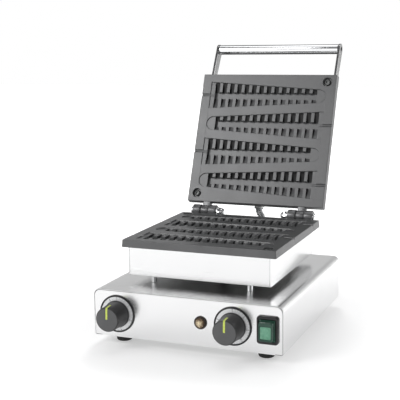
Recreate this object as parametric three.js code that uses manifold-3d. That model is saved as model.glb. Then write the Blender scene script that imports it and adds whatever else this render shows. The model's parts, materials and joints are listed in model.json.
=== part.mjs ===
// Electric counter-top waffle maker for four tapered waffles on sticks, with its lid open.
// Units are millimetres. +X is the operator's right, +Y points away from the operator, +Z is up.
// The origin is on the counter, at the middle of the base.

import * as THREE from "three";
import { mergeVertices } from "three/addons/utils/BufferGeometryUtils.js";
import Module from "manifold-3d";

// ---------------------------------------------------------------- driving dimensions

const GAP = 0.3;
const SHEET = 1.2;
const BASE = { width: 300, depth: 316, bottom: 14, top: 86, edgeRadius: 11, flange: 12 };
const FOOT = { radius: 13, tipRadius: 9.5, x: 115, y: 128, stud: 2.3, studTop: 22, hole: 2.6 };
const CASING = {
  width: 230,
  lidWidth: 225,
  front: -107.5,
  back: 114.5,
  bottom: 97.5,
  flange: 13,
  cornerRadius: 2,
};
const PLATE = { width: 247, front: -111, back: 125, bottom: 141.3, top: 153, cornerRadius: 1.2, draft: 1 };
const HINGE = { y: 141.5, z: 154, x: 86.75, boltRadius: 4, earRadius: 10.5, lugRadius: 9.5 };
const OPEN_ANGLE = THREE.MathUtils.degToRad(112.4);
const LEG = { radius: 4.4, x: 78, front: -95, back: 107 };
const DUCT = { outer: 12, inner: 10.5, collar: 17 };
const SCREW = { shank: 2.4, clearance: 2.8, head: 4.6 };

// Waffle moulds: four tapered lanes, alternate lanes turned end for end.
const LANE = {
  pitch: 52.6,
  length: 214,
  wideHalf: 24.5,
  narrowHalf: 12,
  panDepth: 1.8,
  channelHalf: 5.5,
  channelDepth: 8.8,
  edgeDepth: 3,
  grooveCount: 14,
  groovePitch: 14,
  grooveWidth: 7.5,
  firstGroove: 12,
  stickRadius: 2.6,
};
const RECESS = { x: 107.5, fromEdge: 13, radius: 8, depth: 5.5, hole: 3.2 };

// Controls on the front panel, all on one level.
const CONTROL_Z = 50;
const TIMER_X = -110.6;
const THERMOSTAT_X = 74;
const LAMP = { x: 24.2, bezelRadius: 9.8, lensRadius: 7, barrel: 6.7 };
const SWITCH = { x: 127, width: 32, height: 41, bezel: 4.5, well: [24.6, 32], tilt: 8 };
const SWITCH_BODY = { width: 26, height: 32, depth: 24 };
const BOOT = { depth: 13.5, wall: 1, taper: 0.856 };
const DIAL = { outer: 28.8, scale: 25, bore: 6, face: 1.6, rim: 2.4 };
const KNOB = { skirt: 20.6, shoulder: 19.6, face: 18.4, length: 36 };
const SPINDLE = { radius: 3, bore: 3.4, panelHole: 5 };

const HEATER = { radius: 3.25, x: 92, front: -84, runs: 4, pitch: 58, clamp: 1.5 };
const HANDLE = {
  tubeRadius: 8.8,
  spigot: 4,
  y: -171,
  z: 187.5,
  barWidth: 16,
  barThickness: 4,
  endRadius: 9.6,
  z0: 177,
  bendY: -100,
  backEnd: -36,
};
const ARM_BOLTS = [-48, -84];
const GLAND = { neck: 7, flange: 9.5, length: 9 };
const CONDUIT = { radius: 6, x: 14, y: 138 };
const MAINS = { x: -100, z: 40 };

// Heights that follow from the ones above.
const FRONT_FACE = -BASE.depth / 2;
const CASING_TOP = PLATE.bottom - GAP;
const PLATE_THICKNESS = PLATE.top - PLATE.bottom;
const LID_FACE = PLATE.top + GAP;
const LID_PLATE_BACK = LID_FACE + PLATE_THICKNESS;
const LID_CASING_BOTTOM = LID_PLATE_BACK + GAP;
const LID_CASING_TOP = LID_CASING_BOTTOM + CASING_TOP - CASING.bottom;
const LID_GLAND_Z = LID_CASING_BOTTOM + 21;
const EAR_WIDTH = 14.3;
const LUG_WIDTH = 13.6;
const EAR_CLEARANCE = 0.5;
const PLATE_MIDDLE = (PLATE.front + PLATE.back) / 2;
const CASING_MIDDLE = (CASING.front + CASING.back) / 2;
const LEG_Y = { front: LEG.front, back: LEG.back };

// ---------------------------------------------------------------- materials

function metal(color, roughness) {
  return new THREE.MeshStandardMaterial({ color, roughness, metalness: 1 });
}

function plain(color, roughness) {
  return new THREE.MeshStandardMaterial({ color, roughness, metalness: 0 });
}

const MATERIAL = {
  steel: metal(0xc9cbcc, 0.3),
  chrome: metal(0xe6e8ea, 0.08),
  zinc: metal(0xb4b6b4, 0.4),
  nonstick: metal(0x4a4c4e, 0.6),
  blackPlastic: plain(0x1b1b1c, 0.45),
  knobPlastic: plain(0x47484a, 0.5),
  dial: metal(0xd8dadb, 0.35),
  pointer: plain(0xc8e07a, 0.4),
  amber: plain(0xb08a4c, 0.25),
  green: plain(0x2fae74, 0.25),
  clearGreen: plain(0x7fb79a, 0.15),
  rubber: plain(0x141414, 0.8),
  ceramic: plain(0xe4ddcc, 0.7),
};

// ---------------------------------------------------------------- geometry helpers

const wasm = await Module();
wasm.setup();

/** Merge shared corners and drop the zero-area triangles that a pole leaves. */
function weld(geometry) {
  const bare = geometry.clone();
  bare.deleteAttribute("normal");
  bare.deleteAttribute("uv");
  const merged = mergeVertices(bare, 1e-4);
  const source = merged.index.array;
  const kept = [];
  for (let i = 0; i < source.length; i += 3) {
    const [a, b, c] = [source[i], source[i + 1], source[i + 2]];
    if (a !== b && b !== c && c !== a) kept.push(a, b, c);
  }
  merged.setIndex(kept);
  return merged;
}

function toSolid(geometry) {
  const welded = weld(geometry);
  return new wasm.Manifold(
    new wasm.Mesh({
      numProp: 3,
      vertProperties: new Float32Array(welded.attributes.position.array),
      triVerts: new Uint32Array(welded.index.array),
    }),
  );
}

/** Join the first list of geometries and cut the second list away. */
function carve(joined, cut = []) {
  let solid = toSolid(joined[0]);
  for (const geometry of joined.slice(1)) solid = solid.add(toSolid(geometry));
  for (const geometry of cut) solid = solid.subtract(toSolid(geometry));
  const mesh = solid.getMesh();
  const result = new THREE.BufferGeometry();
  result.setAttribute("position", new THREE.BufferAttribute(new Float32Array(mesh.vertProperties), 3));
  result.setIndex(Array.from(mesh.triVerts));
  return result;
}

/** An axis-aligned block between two corners. */
function block(low, high) {
  const size = high.map((value, i) => value - low[i]);
  const geometry = new THREE.BoxGeometry(...size);
  geometry.translate(...low.map((value, i) => value + size[i] / 2));
  return geometry;
}

function rod(axis, radius, from, to, centre, sides = 24) {
  const geometry = new THREE.CylinderGeometry(radius, radius, to - from, sides);
  const middle = (from + to) / 2;
  if (axis === "x") {
    geometry.rotateZ(-Math.PI / 2);
    geometry.translate(middle, centre[0], centre[1]);
  } else if (axis === "y") {
    geometry.translate(centre[0], middle, centre[1]);
  } else {
    geometry.rotateX(Math.PI / 2);
    geometry.translate(centre[0], centre[1], middle);
  }
  return geometry;
}

/** Turn a profile of [radius, height] points about Z; a profile that misses the axis is closed. */
function turn(profile, sides = 28) {
  const points = profile.map(([radius, height]) => new THREE.Vector2(radius, height));
  const onAxis = profile[0][0] === 0 && profile[profile.length - 1][0] === 0;
  if (!onAxis) points.push(points[0].clone());
  const geometry = new THREE.LatheGeometry(points, sides);
  geometry.rotateX(Math.PI / 2);
  return geometry;
}

/** The same, turned about a line along Y, with heights measured towards the operator. */
function turnForward(profile, x, y, z, sides = 28) {
  const geometry = turn(profile, sides);
  geometry.rotateX(Math.PI / 2);
  geometry.translate(x, y, z);
  return geometry;
}

function polygon(points) {
  return new THREE.Shape(points.map(([x, y]) => new THREE.Vector2(x, y)));
}

function roundedRectangle(left, low, right, high, radius, Kind = THREE.Shape) {
  const outline = new Kind();
  outline.moveTo(left + radius, low);
  outline.lineTo(right - radius, low);
  outline.absarc(right - radius, low + radius, radius, -Math.PI / 2, 0);
  outline.lineTo(right, high - radius);
  outline.absarc(right - radius, high - radius, radius, 0, Math.PI / 2);
  outline.lineTo(left + radius, high);
  outline.absarc(left + radius, high - radius, radius, Math.PI / 2, Math.PI);
  outline.lineTo(left, low + radius);
  outline.absarc(left + radius, low + radius, radius, Math.PI, 1.5 * Math.PI);
  return outline;
}

function circle(x, y, radius) {
  return new THREE.Path().absarc(x, y, radius, 0, 2 * Math.PI);
}

function extrude(shape, depth, curveSegments) {
  return new THREE.ExtrudeGeometry(shape, { depth, bevelEnabled: false, curveSegments });
}

/** A shape drawn in X and Y, raised from low to high. */
function raise(shape, low, high, curveSegments = 2) {
  const geometry = extrude(shape, high - low, curveSegments);
  geometry.translate(0, 0, low);
  return geometry;
}

/** A shape drawn in X and Z, run from front to back. */
function runBack(shape, front, back, curveSegments = 2) {
  const geometry = extrude(shape, back - front, curveSegments);
  geometry.rotateX(Math.PI / 2);
  geometry.translate(0, back, 0);
  return geometry;
}

/** A shape drawn in Y and Z, run from left to right. */
function runAcross(shape, left, right, curveSegments = 2) {
  const geometry = extrude(shape, right - left, curveSegments);
  const columns = [new THREE.Vector3(0, 1, 0), new THREE.Vector3(0, 0, 1), new THREE.Vector3(1, 0, 0)];
  geometry.applyMatrix4(new THREE.Matrix4().makeBasis(...columns));
  geometry.translate(left, 0, 0);
  return geometry;
}

/** A round tube or rod along a curve, closed at both ends. */
function sweep(curve, radius, steps, sides) {
  const section = new THREE.Shape();
  for (let i = 0; i < sides; i += 1) {
    const angle = (2 * Math.PI * i) / sides;
    const point = [radius * Math.cos(angle), radius * Math.sin(angle)];
    if (i === 0) section.moveTo(...point);
    else section.lineTo(...point);
  }
  return new THREE.ExtrudeGeometry(section, { steps, extrudePath: curve, bevelEnabled: false });
}

// ---------------------------------------------------------------- assembly

const machine = new THREE.Group();
const lidPivot = new THREE.Group();
const lid = new THREE.Group();
lidPivot.position.set(0, HINGE.y, HINGE.z);
lidPivot.rotation.x = -OPEN_ANGLE;
lid.position.set(0, -HINGE.y, -HINGE.z);
lidPivot.add(lid);
machine.add(lidPivot);

function place(parent, name, geometry, material) {
  const mesh = new THREE.Mesh(weld(geometry), material);
  mesh.name = name;
  parent.add(mesh);
  return mesh;
}

const SIDES = [
  { name: "left", sign: -1 },
  { name: "right", sign: 1 },
];
const CORNERS = [
  { name: "front_left", x: -1, y: "front" },
  { name: "front_right", x: 1, y: "front" },
  { name: "rear_left", x: -1, y: "back" },
  { name: "rear_right", x: 1, y: "back" },
];

// ---------------------------------------------------------------- base

/** Cross-section of the wrapper: two sides and the top, bent from one sheet. */
function wrapperOutline(inset) {
  const half = BASE.width / 2 - inset;
  const high = BASE.top - inset;
  const radius = BASE.edgeRadius - inset;
  const outline = new THREE.Shape();
  outline.moveTo(-half, BASE.bottom);
  outline.lineTo(half, BASE.bottom);
  outline.lineTo(half, high - radius);
  outline.absarc(half - radius, high - radius, radius, 0, Math.PI / 2);
  outline.lineTo(-half + radius, high);
  outline.absarc(-half + radius, high - radius, radius, Math.PI / 2, Math.PI);
  return outline;
}

function baseShell() {
  const inner = runBack(wrapperOutline(SHEET), FRONT_FACE - 1, -FRONT_FACE + 1, 4);
  inner.translate(0, 0, -0.01);
  const reach = [BASE.top - 4, BASE.top + 4];
  const cuts = [inner, rod("z", DUCT.outer + GAP, ...reach, [0, CASING_MIDDLE])];
  cuts.push(rod("z", GLAND.neck + GAP, ...reach, [CONDUIT.x, CONDUIT.y], 16));
  for (const corner of CORNERS) {
    cuts.push(rod("z", SCREW.clearance, ...reach, [corner.x * LEG.x, LEG_Y[corner.y]], 8));
  }
  const shell = carve([runBack(wrapperOutline(0), FRONT_FACE, -FRONT_FACE, 4)], cuts);
  const outer = BASE.width / 2 - 0.4;
  const flanges = SIDES.map(({ sign }) => {
    const ends = [sign * outer, sign * (outer - BASE.flange)].sort((a, b) => a - b);
    return block([ends[0], FRONT_FACE + 4, BASE.bottom], [ends[1], -FRONT_FACE - 4, BASE.bottom + SHEET]);
  });
  const footHoles = CORNERS.map(({ x, y }) => footHole(x, y === "front" ? -1 : 1));
  return carve([shell, ...flanges], footHoles);
}

function footHole(xSign, ySign) {
  return rod("z", FOOT.hole, BASE.bottom - 3, BASE.bottom + 6, [xSign * FOOT.x, ySign * FOOT.y], 12);
}

/** Front or rear panel, set flush inside the end of the wrapper. */
function endPanel(front, holes) {
  const panel = runBack(wrapperOutline(SHEET + 0.5), front, front + SHEET, 4);
  return carve([panel], holes);
}

function frontPanel() {
  const reach = [FRONT_FACE - 2, FRONT_FACE + 4];
  const cutout = aroundSwitch(SWITCH_BODY.width / 2 + 0.4, SWITCH_BODY.height / 2 + 0.4, 2);
  return endPanel(FRONT_FACE, [
    rod("y", SPINDLE.panelHole, ...reach, [TIMER_X, CONTROL_Z], 12),
    rod("y", SPINDLE.panelHole, ...reach, [THERMOSTAT_X, CONTROL_Z], 12),
    rod("y", LAMP.lensRadius + GAP, ...reach, [LAMP.x, CONTROL_Z], 20),
    runBack(cutout, ...reach, 1),
  ]);
}

function rearPanel() {
  const inside = -FRONT_FACE - SHEET;
  const holes = [rod("y", 8.5, inside - 3, inside + 5, [MAINS.x, MAINS.z], 16)];
  for (let i = 0; i < 5; i += 1) {
    const x = 20 + i * 14;
    const slot = roundedRectangle(x, 34, x + 5, 62, 2.4);
    holes.push(runBack(slot, inside - 3, inside + 5, 1));
  }
  return endPanel(inside, holes);
}

function baseFloor() {
  const half = BASE.width / 2 - SHEET - GAP;
  const end = -FRONT_FACE - SHEET - GAP;
  const outline = roundedRectangle(-half, -end, half, end, 1);
  for (let row = -1; row <= 1; row += 2) {
    for (let i = -1; i <= 1; i += 1) {
      const [x, y] = [i * 24, row * 40];
      outline.holes.push(roundedRectangle(x - 3, y - 18, x + 3, y + 18, 2.9, THREE.Path));
    }
  }
  for (const { x, y } of CORNERS) {
    outline.holes.push(circle(x * FOOT.x, (y === "front" ? -1 : 1) * FOOT.y, 3.2));
  }
  const low = BASE.bottom + SHEET + GAP;
  return raise(outline, low, low + SHEET, 3);
}

/** Rubber foot with its stud moulded in; the stud goes up through the flange and floor. */
function foot(xSign, ySign) {
  const top = BASE.bottom - GAP;
  const profile = [[0, 0], [FOOT.tipRadius, 0], [FOOT.tipRadius + 2.2, 1.2], [FOOT.radius - 0.3, 5.5]];
  profile.push([FOOT.radius, top], [FOOT.stud, top], [FOOT.stud, FOOT.studTop], [0, FOOT.studTop]);
  const geometry = turn(profile, 20);
  geometry.translate(xSign * FOOT.x, ySign * FOOT.y, 0);
  return geometry;
}

place(machine, "base_shell", baseShell(), MATERIAL.steel);
place(machine, "front_panel", frontPanel(), MATERIAL.steel);
place(machine, "rear_panel", rearPanel(), MATERIAL.steel);
place(machine, "base_floor", baseFloor(), MATERIAL.zinc);
for (const { name, x, y } of CORNERS) {
  place(machine, `foot_${name}`, foot(x, y === "front" ? -1 : 1), MATERIAL.rubber);
}

// ---------------------------------------------------------------- stand-off legs and wiring duct

const FLANGE_TOP = CASING.bottom + SHEET;
const CASING_FLOOR = { low: FLANGE_TOP + GAP, high: FLANGE_TOP + GAP + SHEET };

function leg(x, y) {
  const low = BASE.top + GAP;
  const high = CASING.bottom - GAP;
  const bore = SCREW.clearance;
  const geometry = turn([[bore, low], [LEG.radius, low], [LEG.radius, high], [bore, high]], 16);
  geometry.translate(x, y, 0);
  return geometry;
}

/** Hexagon screw from inside the casing, down through the leg into the base top. */
function legScrew(x, y) {
  const tip = BASE.top - 6;
  const seat = CASING_FLOOR.high + GAP;
  const top = seat + 3.5;
  const profile = [[0, tip], [SCREW.shank, tip], [SCREW.shank, seat], [SCREW.head, seat], [SCREW.head, top]];
  const geometry = turn([...profile, [0, top]], 12);
  geometry.translate(x, y, 0);
  return geometry;
}

function wiringDuct() {
  const low = BASE.top - 5;
  const seat = BASE.top + GAP;
  const high = CASING_FLOOR.high + 6;
  const profile = [[DUCT.inner, low], [DUCT.outer, low], [DUCT.outer, seat], [DUCT.collar, seat]];
  profile.push([DUCT.collar, seat + 1.5], [DUCT.outer, seat + 1.5], [DUCT.outer, high], [DUCT.inner, high]);
  const geometry = turn(profile, 16);
  geometry.translate(0, CASING_MIDDLE, 0);
  return geometry;
}

for (const { name, x, y } of CORNERS) {
  place(machine, `leg_${name}`, leg(x * LEG.x, LEG_Y[y]), MATERIAL.chrome);
  place(machine, `leg_screw_${name}`, legScrew(x * LEG.x, LEG_Y[y]), MATERIAL.zinc);
}
place(machine, "wiring_duct", wiringDuct(), MATERIAL.zinc);

// ---------------------------------------------------------------- lower and upper casings

function casingOutline(width, inset, Kind = THREE.Shape) {
  const half = width / 2 - inset;
  const radius = Math.max(CASING.cornerRadius - inset, 0.6);
  return roundedRectangle(-half, CASING.front + inset, half, CASING.back - inset, radius, Kind);
}

function casingWalls(width, low, high) {
  const outline = casingOutline(width, 0);
  outline.holes.push(casingOutline(width, SHEET, THREE.Path));
  return raise(outline, low, high, 1);
}

/** Small tabs inside two corners, which the plate's screws pull against. */
function screwTabs(width, low, high) {
  const half = 7;
  return plateScrewPlaces().map(([x, y]) => {
    const wall = Math.sign(x) * (width / 2 - 0.4);
    const inner = x - Math.sign(x) * half;
    return block([Math.min(wall, inner), y - half, low], [Math.max(wall, inner), y + half, high]);
  });
}

function plateScrewPlaces() {
  return [
    [RECESS.x, PLATE.front + RECESS.fromEdge],
    [-RECESS.x, PLATE.back - RECESS.fromEdge - 2],
  ];
}

function tabHoles(low, high) {
  return plateScrewPlaces().map(([x, y]) => rod("z", RECESS.hole, low, high, [x, y], 8));
}

function lowerCasing() {
  const flange = casingOutline(CASING.width, 0.4);
  flange.holes.push(casingOutline(CASING.width, CASING.flange, THREE.Path));
  const holes = CORNERS.map(({ x, y }) => {
    return rod("z", SCREW.clearance, CASING.bottom - 2, CASING.bottom + 4, [x * LEG.x, LEG_Y[y]], 8);
  });
  const walls = casingWalls(CASING.width, CASING.bottom, CASING_TOP);
  const base = raise(flange, CASING.bottom, FLANGE_TOP, 1);
  const tabs = screwTabs(CASING.width, CASING_TOP - 6, CASING_TOP - 4);
  return carve([walls, base, ...tabs], [...holes, ...tabHoles(CASING_TOP - 8, CASING_TOP)]);
}

function casingFloor() {
  const outline = casingOutline(CASING.width, SHEET + GAP);
  outline.holes.push(circle(0, CASING_MIDDLE, DUCT.outer + 2 * GAP));
  for (const { x, y } of CORNERS) outline.holes.push(circle(x * LEG.x, LEG_Y[y], SCREW.clearance));
  return raise(outline, CASING_FLOOR.low, CASING_FLOOR.high, 6);
}

/** The lid's casing: walls with a closed top, and a hole at the back for the wiring conduit. */
function upperCasing() {
  const walls = casingWalls(CASING.lidWidth, LID_CASING_BOTTOM, LID_CASING_TOP);
  const top = raise(casingOutline(CASING.lidWidth, 0.4), LID_CASING_TOP - SHEET, LID_CASING_TOP, 1);
  const tabs = screwTabs(CASING.lidWidth, LID_CASING_BOTTOM + 4, LID_CASING_BOTTOM + 6);
  const cuts = [
    rod("y", GLAND.neck + GAP, CASING.back - 4, CASING.back + 4, [0, LID_GLAND_Z], 16),
    ...tabHoles(LID_CASING_BOTTOM, LID_CASING_BOTTOM + 8),
  ];
  for (const { sign } of SIDES) {
    for (const y of ARM_BOLTS) {
      const wall = (sign * CASING.lidWidth) / 2;
      const ends = [wall - 4, wall + 4];
      cuts.push(rod("x", SCREW.clearance, ...ends, [y, HANDLE.z0], 8));
    }
  }
  return carve([walls, top, ...tabs], cuts);
}

place(machine, "lower_casing", lowerCasing(), MATERIAL.steel);
place(machine, "lower_casing_floor", casingFloor(), MATERIAL.zinc);
place(lid, "upper_casing", upperCasing(), MATERIAL.steel);

// ---------------------------------------------------------------- cooking plates

/** Outline of one mould: square wide end at the left, taper, half-round tip at the right. */
function laneOutline() {
  const half = LANE.length / 2;
  const tipCentre = half - LANE.narrowHalf;
  const outline = new THREE.Shape();
  outline.moveTo(-half, -LANE.wideHalf);
  outline.lineTo(tipCentre, -LANE.narrowHalf);
  outline.absarc(tipCentre, 0, LANE.narrowHalf, -Math.PI / 2, Math.PI / 2);
  outline.lineTo(-half, LANE.wideHalf);
  return outline;
}

function laneHalfWidth(x) {
  const run = LANE.length - LANE.narrowHalf;
  const along = (x + LANE.length / 2) / run;
  return LANE.wideHalf + (LANE.narrowHalf - LANE.wideHalf) * along;
}

/** A cross groove: bow-shaped floor, deep at the middle and shallow at the mould's edge. */
function crossGroove(x) {
  const half = laneHalfWidth(x) - 0.4;
  const points = [[half, 1], [-half, 1]];
  const steps = 4;
  for (let i = 0; i <= steps; i += 1) {
    const across = -half + (2 * half * i) / steps;
    const bow = 1 - (across / half) ** 2;
    points.push([across, -LANE.edgeDepth - (LANE.channelDepth - LANE.edgeDepth) * bow]);
  }
  return runAcross(polygon(points), x - LANE.grooveWidth / 2, x + LANE.grooveWidth / 2);
}

/** Everything that one mould removes, about its own middle, with the plate's face at Z = 0. */
function laneCutters() {
  const start = -LANE.length / 2 + LANE.firstGroove;
  const last = start + (LANE.grooveCount - 1) * LANE.groovePitch;
  const cutters = [raise(laneOutline(), -LANE.panDepth, 1, 4)];
  cutters.push(block(
    [start - LANE.grooveWidth / 2, -LANE.channelHalf, -LANE.channelDepth],
    [last + LANE.grooveWidth / 2, LANE.channelHalf, 1]));
  for (let i = 0; i < LANE.grooveCount; i += 1) {
    cutters.push(crossGroove(start + i * LANE.groovePitch));
  }
  cutters.push(rod("x", LANE.stickRadius, -PLATE.width, start, [0, 0], 12));
  return cutters;
}

function mouldCutters() {
  const cutters = [];
  for (let lane = 0; lane < 4; lane += 1) {
    for (const geometry of laneCutters()) {
      if (lane % 2 === 1) geometry.rotateZ(Math.PI);
      geometry.translate(0, PLATE_MIDDLE + (lane - 1.5) * LANE.pitch, 0);
      cutters.push(geometry);
    }
  }
  return cutters;
}

function recessCutters(places) {
  return places.flatMap(([x, y]) => [
    rod("z", RECESS.radius, -RECESS.depth, 1, [x, y], 20),
    rod("z", RECESS.hole, -PLATE_THICKNESS - 1, 1, [x, y], 8),
  ]);
}

/** The plain slab with its face at Z = 0; the draft on its edges makes the back a little larger. */
function draftedSlab() {
  const [half, halfDepth] = [PLATE.width / 2, (PLATE.back - PLATE.front) / 2];
  const outline = roundedRectangle(-half, PLATE.front, half, PLATE.back, PLATE.cornerRadius);
  const geometry = raise(outline, -PLATE_THICKNESS, 0);
  const position = geometry.attributes.position;
  for (let i = 0; i < position.count; i += 1) {
    if (position.getZ(i) > -PLATE_THICKNESS / 2) continue;
    const [x, y] = [position.getX(i), position.getY(i) - PLATE_MIDDLE];
    position.setX(i, x * (1 + PLATE.draft / half));
    position.setY(i, PLATE_MIDDLE + y * (1 + PLATE.draft / halfDepth));
  }
  return geometry;
}

/** A plate with its face up at Z = 0 and its moulds cut; front and back as in the lower plate. */
function mouldedPlate(places) {
  return carve([draftedSlab()], [...mouldCutters(), ...recessCutters(places)]);
}

/** Side view of a hinge ear or lug: a barrel round the bolt, joined to the plate's back edge. */
function knuckle(radius, low, high) {
  const outline = new THREE.Shape();
  const reach = Math.sqrt(radius ** 2 - (high - HINGE.z) ** 2);
  const start = Math.atan2(high - HINGE.z, -reach);
  outline.moveTo(PLATE.back - 2, low);
  outline.lineTo(HINGE.y, HINGE.z - radius);
  outline.absarc(HINGE.y, HINGE.z, radius, -Math.PI / 2, start);
  outline.lineTo(PLATE.back - 2, high);
  return outline;
}

/** Lower plate: two ears each side, drilled for the hinge bolts. */
function lowerPlate() {
  const plate = mouldedPlate(plateScrewPlaces());
  plate.translate(0, 0, PLATE.top);
  const ears = [];
  for (const { sign } of SIDES) {
    for (const offset of [-1, 1]) {
      const near = sign * HINGE.x + offset * (LUG_WIDTH / 2 + EAR_CLEARANCE);
      const far = near + offset * EAR_WIDTH;
      const outline = knuckle(HINGE.earRadius, PLATE.bottom, PLATE.top - 0.4);
      ears.push(runAcross(outline, Math.min(near, far), Math.max(near, far), 8));
    }
  }
  return carve([plate, ...ears], hingeBores());
}

function hingeBores() {
  return SIDES.map(({ sign }) => {
    const [low, high] = [sign * HINGE.x - 30, sign * HINGE.x + 30];
    return rod("x", HINGE.boltRadius + 0.2, low, high, [HINGE.y, HINGE.z], 16);
  });
}

/** Side view of the lid's lug, with a heel that stops against the lower plate when open. */
function lugOutline() {
  const outline = new THREE.Shape();
  outline.moveTo(PLATE.back - 2, LID_FACE + 1);
  outline.absarc(HINGE.y, HINGE.z, HINGE.lugRadius, Math.PI, 2.5 * Math.PI);
  outline.lineTo(PLATE.back - 2, LID_PLATE_BACK);
  return outline;
}

/** The heel is drawn where it stands with the lid open, then turned into the closed position. */
function heel(middle) {
  const half = LUG_WIDTH / 2 - 1;
  const face = PLATE.back + PLATE.draft + GAP - HINGE.y;
  const geometry = block([middle - half, face, -7.5], [middle + half, -4.6, -2.5]);
  geometry.rotateX(OPEN_ANGLE);
  geometry.translate(0, HINGE.y, HINGE.z);
  return geometry;
}

/** Upper plate: the lower plate's mirror image, with one lug each side and its stop heel. */
function upperPlate() {
  const plate = mouldedPlate(plateScrewPlaces());
  const flipped = plate.clone();
  flipped.scale(1, 1, -1);
  const order = Array.from(flipped.index.array);
  for (let i = 0; i < order.length; i += 3) [order[i], order[i + 1]] = [order[i + 1], order[i]];
  flipped.setIndex(order);
  flipped.translate(0, 0, LID_FACE);
  const lugs = SIDES.map(({ sign }) => {
    const middle = sign * HINGE.x;
    return runAcross(lugOutline(), middle - LUG_WIDTH / 2, middle + LUG_WIDTH / 2, 8);
  });
  const heels = SIDES.map(({ sign }) => heel(sign * HINGE.x));
  return carve([flipped, ...lugs, ...heels], hingeBores());
}

/** Pan-head screw down a plate's recess, long enough to reach the tab in the casing. */
function plateScrew(x, y, seat, direction) {
  const length = PLATE_THICKNESS - RECESS.depth + 9;
  const [shank, head, top] = [2.8, 5.4, 4.2];
  const profile = [[0, -length], [shank, -length], [shank, GAP], [head, GAP], [head, top - 1]];
  profile.push([head - 1.4, top], [0, top]);
  const geometry = turn(profile, 12);
  if (direction > 0) geometry.rotateX(Math.PI);
  geometry.translate(x, y, seat);
  return geometry;
}

place(machine, "lower_plate", lowerPlate(), MATERIAL.nonstick);
place(lid, "upper_plate", upperPlate(), MATERIAL.nonstick);
const SCREW_NAMES = ["front_right", "rear_left"];
plateScrewPlaces().forEach(([x, y], i) => {
  const low = plateScrew(x, y, PLATE.top - RECESS.depth, -1);
  const high = plateScrew(x, y, LID_FACE + RECESS.depth, 1);
  place(machine, `lower_plate_screw_${SCREW_NAMES[i]}`, low, MATERIAL.zinc);
  place(lid, `upper_plate_screw_${SCREW_NAMES[i]}`, high, MATERIAL.zinc);
});

// ---------------------------------------------------------------- heating elements

/** Centre line of a tubular heater: straight runs joined by half-round bends. */
function heaterPath(height) {
  const points = [];
  const bend = HEATER.pitch / 2;
  const reach = HEATER.x - bend;
  for (let run = 0; run < HEATER.runs; run += 1) {
    const side = run % 2 === 0 ? 1 : -1;
    const y = HEATER.front + run * HEATER.pitch;
    for (const along of [-1, -0.5, 0, 0.5, 1]) {
      points.push(new THREE.Vector3(side * along * reach, y, height));
    }
    if (run === HEATER.runs - 1) break;
    for (const degrees of [45, 90, 135]) {
      const angle = THREE.MathUtils.degToRad(degrees);
      const x = side * (reach + bend * Math.sin(angle));
      points.push(new THREE.Vector3(x, y + bend - bend * Math.cos(angle), height));
    }
  }
  return new THREE.CatmullRomCurve3(points, false, "centripetal");
}

function heater(height) {
  return sweep(heaterPath(height), HEATER.radius, 46, 6);
}

/** Sheet that holds a heater against its plate. */
function heaterClamp(low) {
  const outline = roundedRectangle(-97, -97, 97, 104, 4);
  outline.holes.push(circle(0, CASING_MIDDLE, 15));
  return raise(outline, low, low + HEATER.clamp);
}

const HEATER_DROP = HEATER.radius + GAP;
const CLAMP_DROP = 2 * HEATER_DROP;
place(machine, "lower_heating_element", heater(PLATE.bottom - HEATER_DROP), MATERIAL.zinc);
place(machine, "lower_element_clamp", heaterClamp(PLATE.bottom - CLAMP_DROP - HEATER.clamp), MATERIAL.zinc);
place(lid, "upper_heating_element", heater(LID_PLATE_BACK + HEATER_DROP), MATERIAL.zinc);
place(lid, "upper_element_clamp", heaterClamp(LID_PLATE_BACK + CLAMP_DROP), MATERIAL.zinc);

// ---------------------------------------------------------------- hinge bolts

const EAR_OUTER_FACE = HINGE.x + LUG_WIDTH / 2 + EAR_CLEARANCE + EAR_WIDTH;
const EAR_INNER_FACE = HINGE.x - LUG_WIDTH / 2 - EAR_CLEARANCE - EAR_WIDTH;
const NUT = { length: 13.5, dome: 6.2, flange: 7.2, wall: 3, flats: 6.9 };

/** Lay a turned piece along the hinge line, its height running away from the middle. */
function onHingeLine(geometry, sign) {
  geometry.rotateY((sign * Math.PI) / 2);
  geometry.translate(0, HINGE.y, HINGE.z);
  return geometry;
}

/** Bolt pushed in from the outer side, with a low domed head. */
function hingeBolt(sign) {
  const seat = EAR_OUTER_FACE + GAP;
  const end = EAR_INNER_FACE - GAP - NUT.length + NUT.wall + GAP;
  const profile = [[0, end], [HINGE.boltRadius, end], [HINGE.boltRadius, seat], [6.4, seat]];
  profile.push([6.4, seat + 2], [5.4, seat + 3.6], [3, seat + 4.6], [0, seat + 4.9]);
  return onHingeLine(turn(profile, 16), sign);
}

/** Cap nut on the inner end of the bolt: washer face, hexagon and dome. */
function hingeNut(sign) {
  const seat = EAR_INNER_FACE - GAP;
  const tip = seat - NUT.length;
  const profile = [[0, tip], [3, tip + 0.6], [5.2, tip + 2.6], [NUT.dome, tip + 5.4]];
  profile.push([NUT.dome, seat - 1.6], [NUT.flange, seat - 1.6], [NUT.flange, seat], [0, seat]);
  const hexagon = rod("z", NUT.flats, seat - 7.5, seat - 1, [0, 0], 6);
  const bore = rod("z", HINGE.boltRadius + GAP, tip + NUT.wall, seat + 1, [0, 0], 16);
  return onHingeLine(carve([turn(profile, 16), hexagon], [bore]), sign);
}

for (const { name, sign } of SIDES) {
  place(machine, `hinge_bolt_${name}`, hingeBolt(sign), MATERIAL.chrome);
  place(machine, `hinge_nut_${name}`, hingeNut(sign), MATERIAL.chrome);
}

// ---------------------------------------------------------------- dials and knobs

const INSIDE_PANEL = FRONT_FACE + SHEET + GAP;
const CONTROLS = [
  { name: "timer", x: TIMER_X, half: 21, depth: 40 },
  { name: "thermostat", x: THERMOSTAT_X, half: 18, depth: 26 },
];

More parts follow.
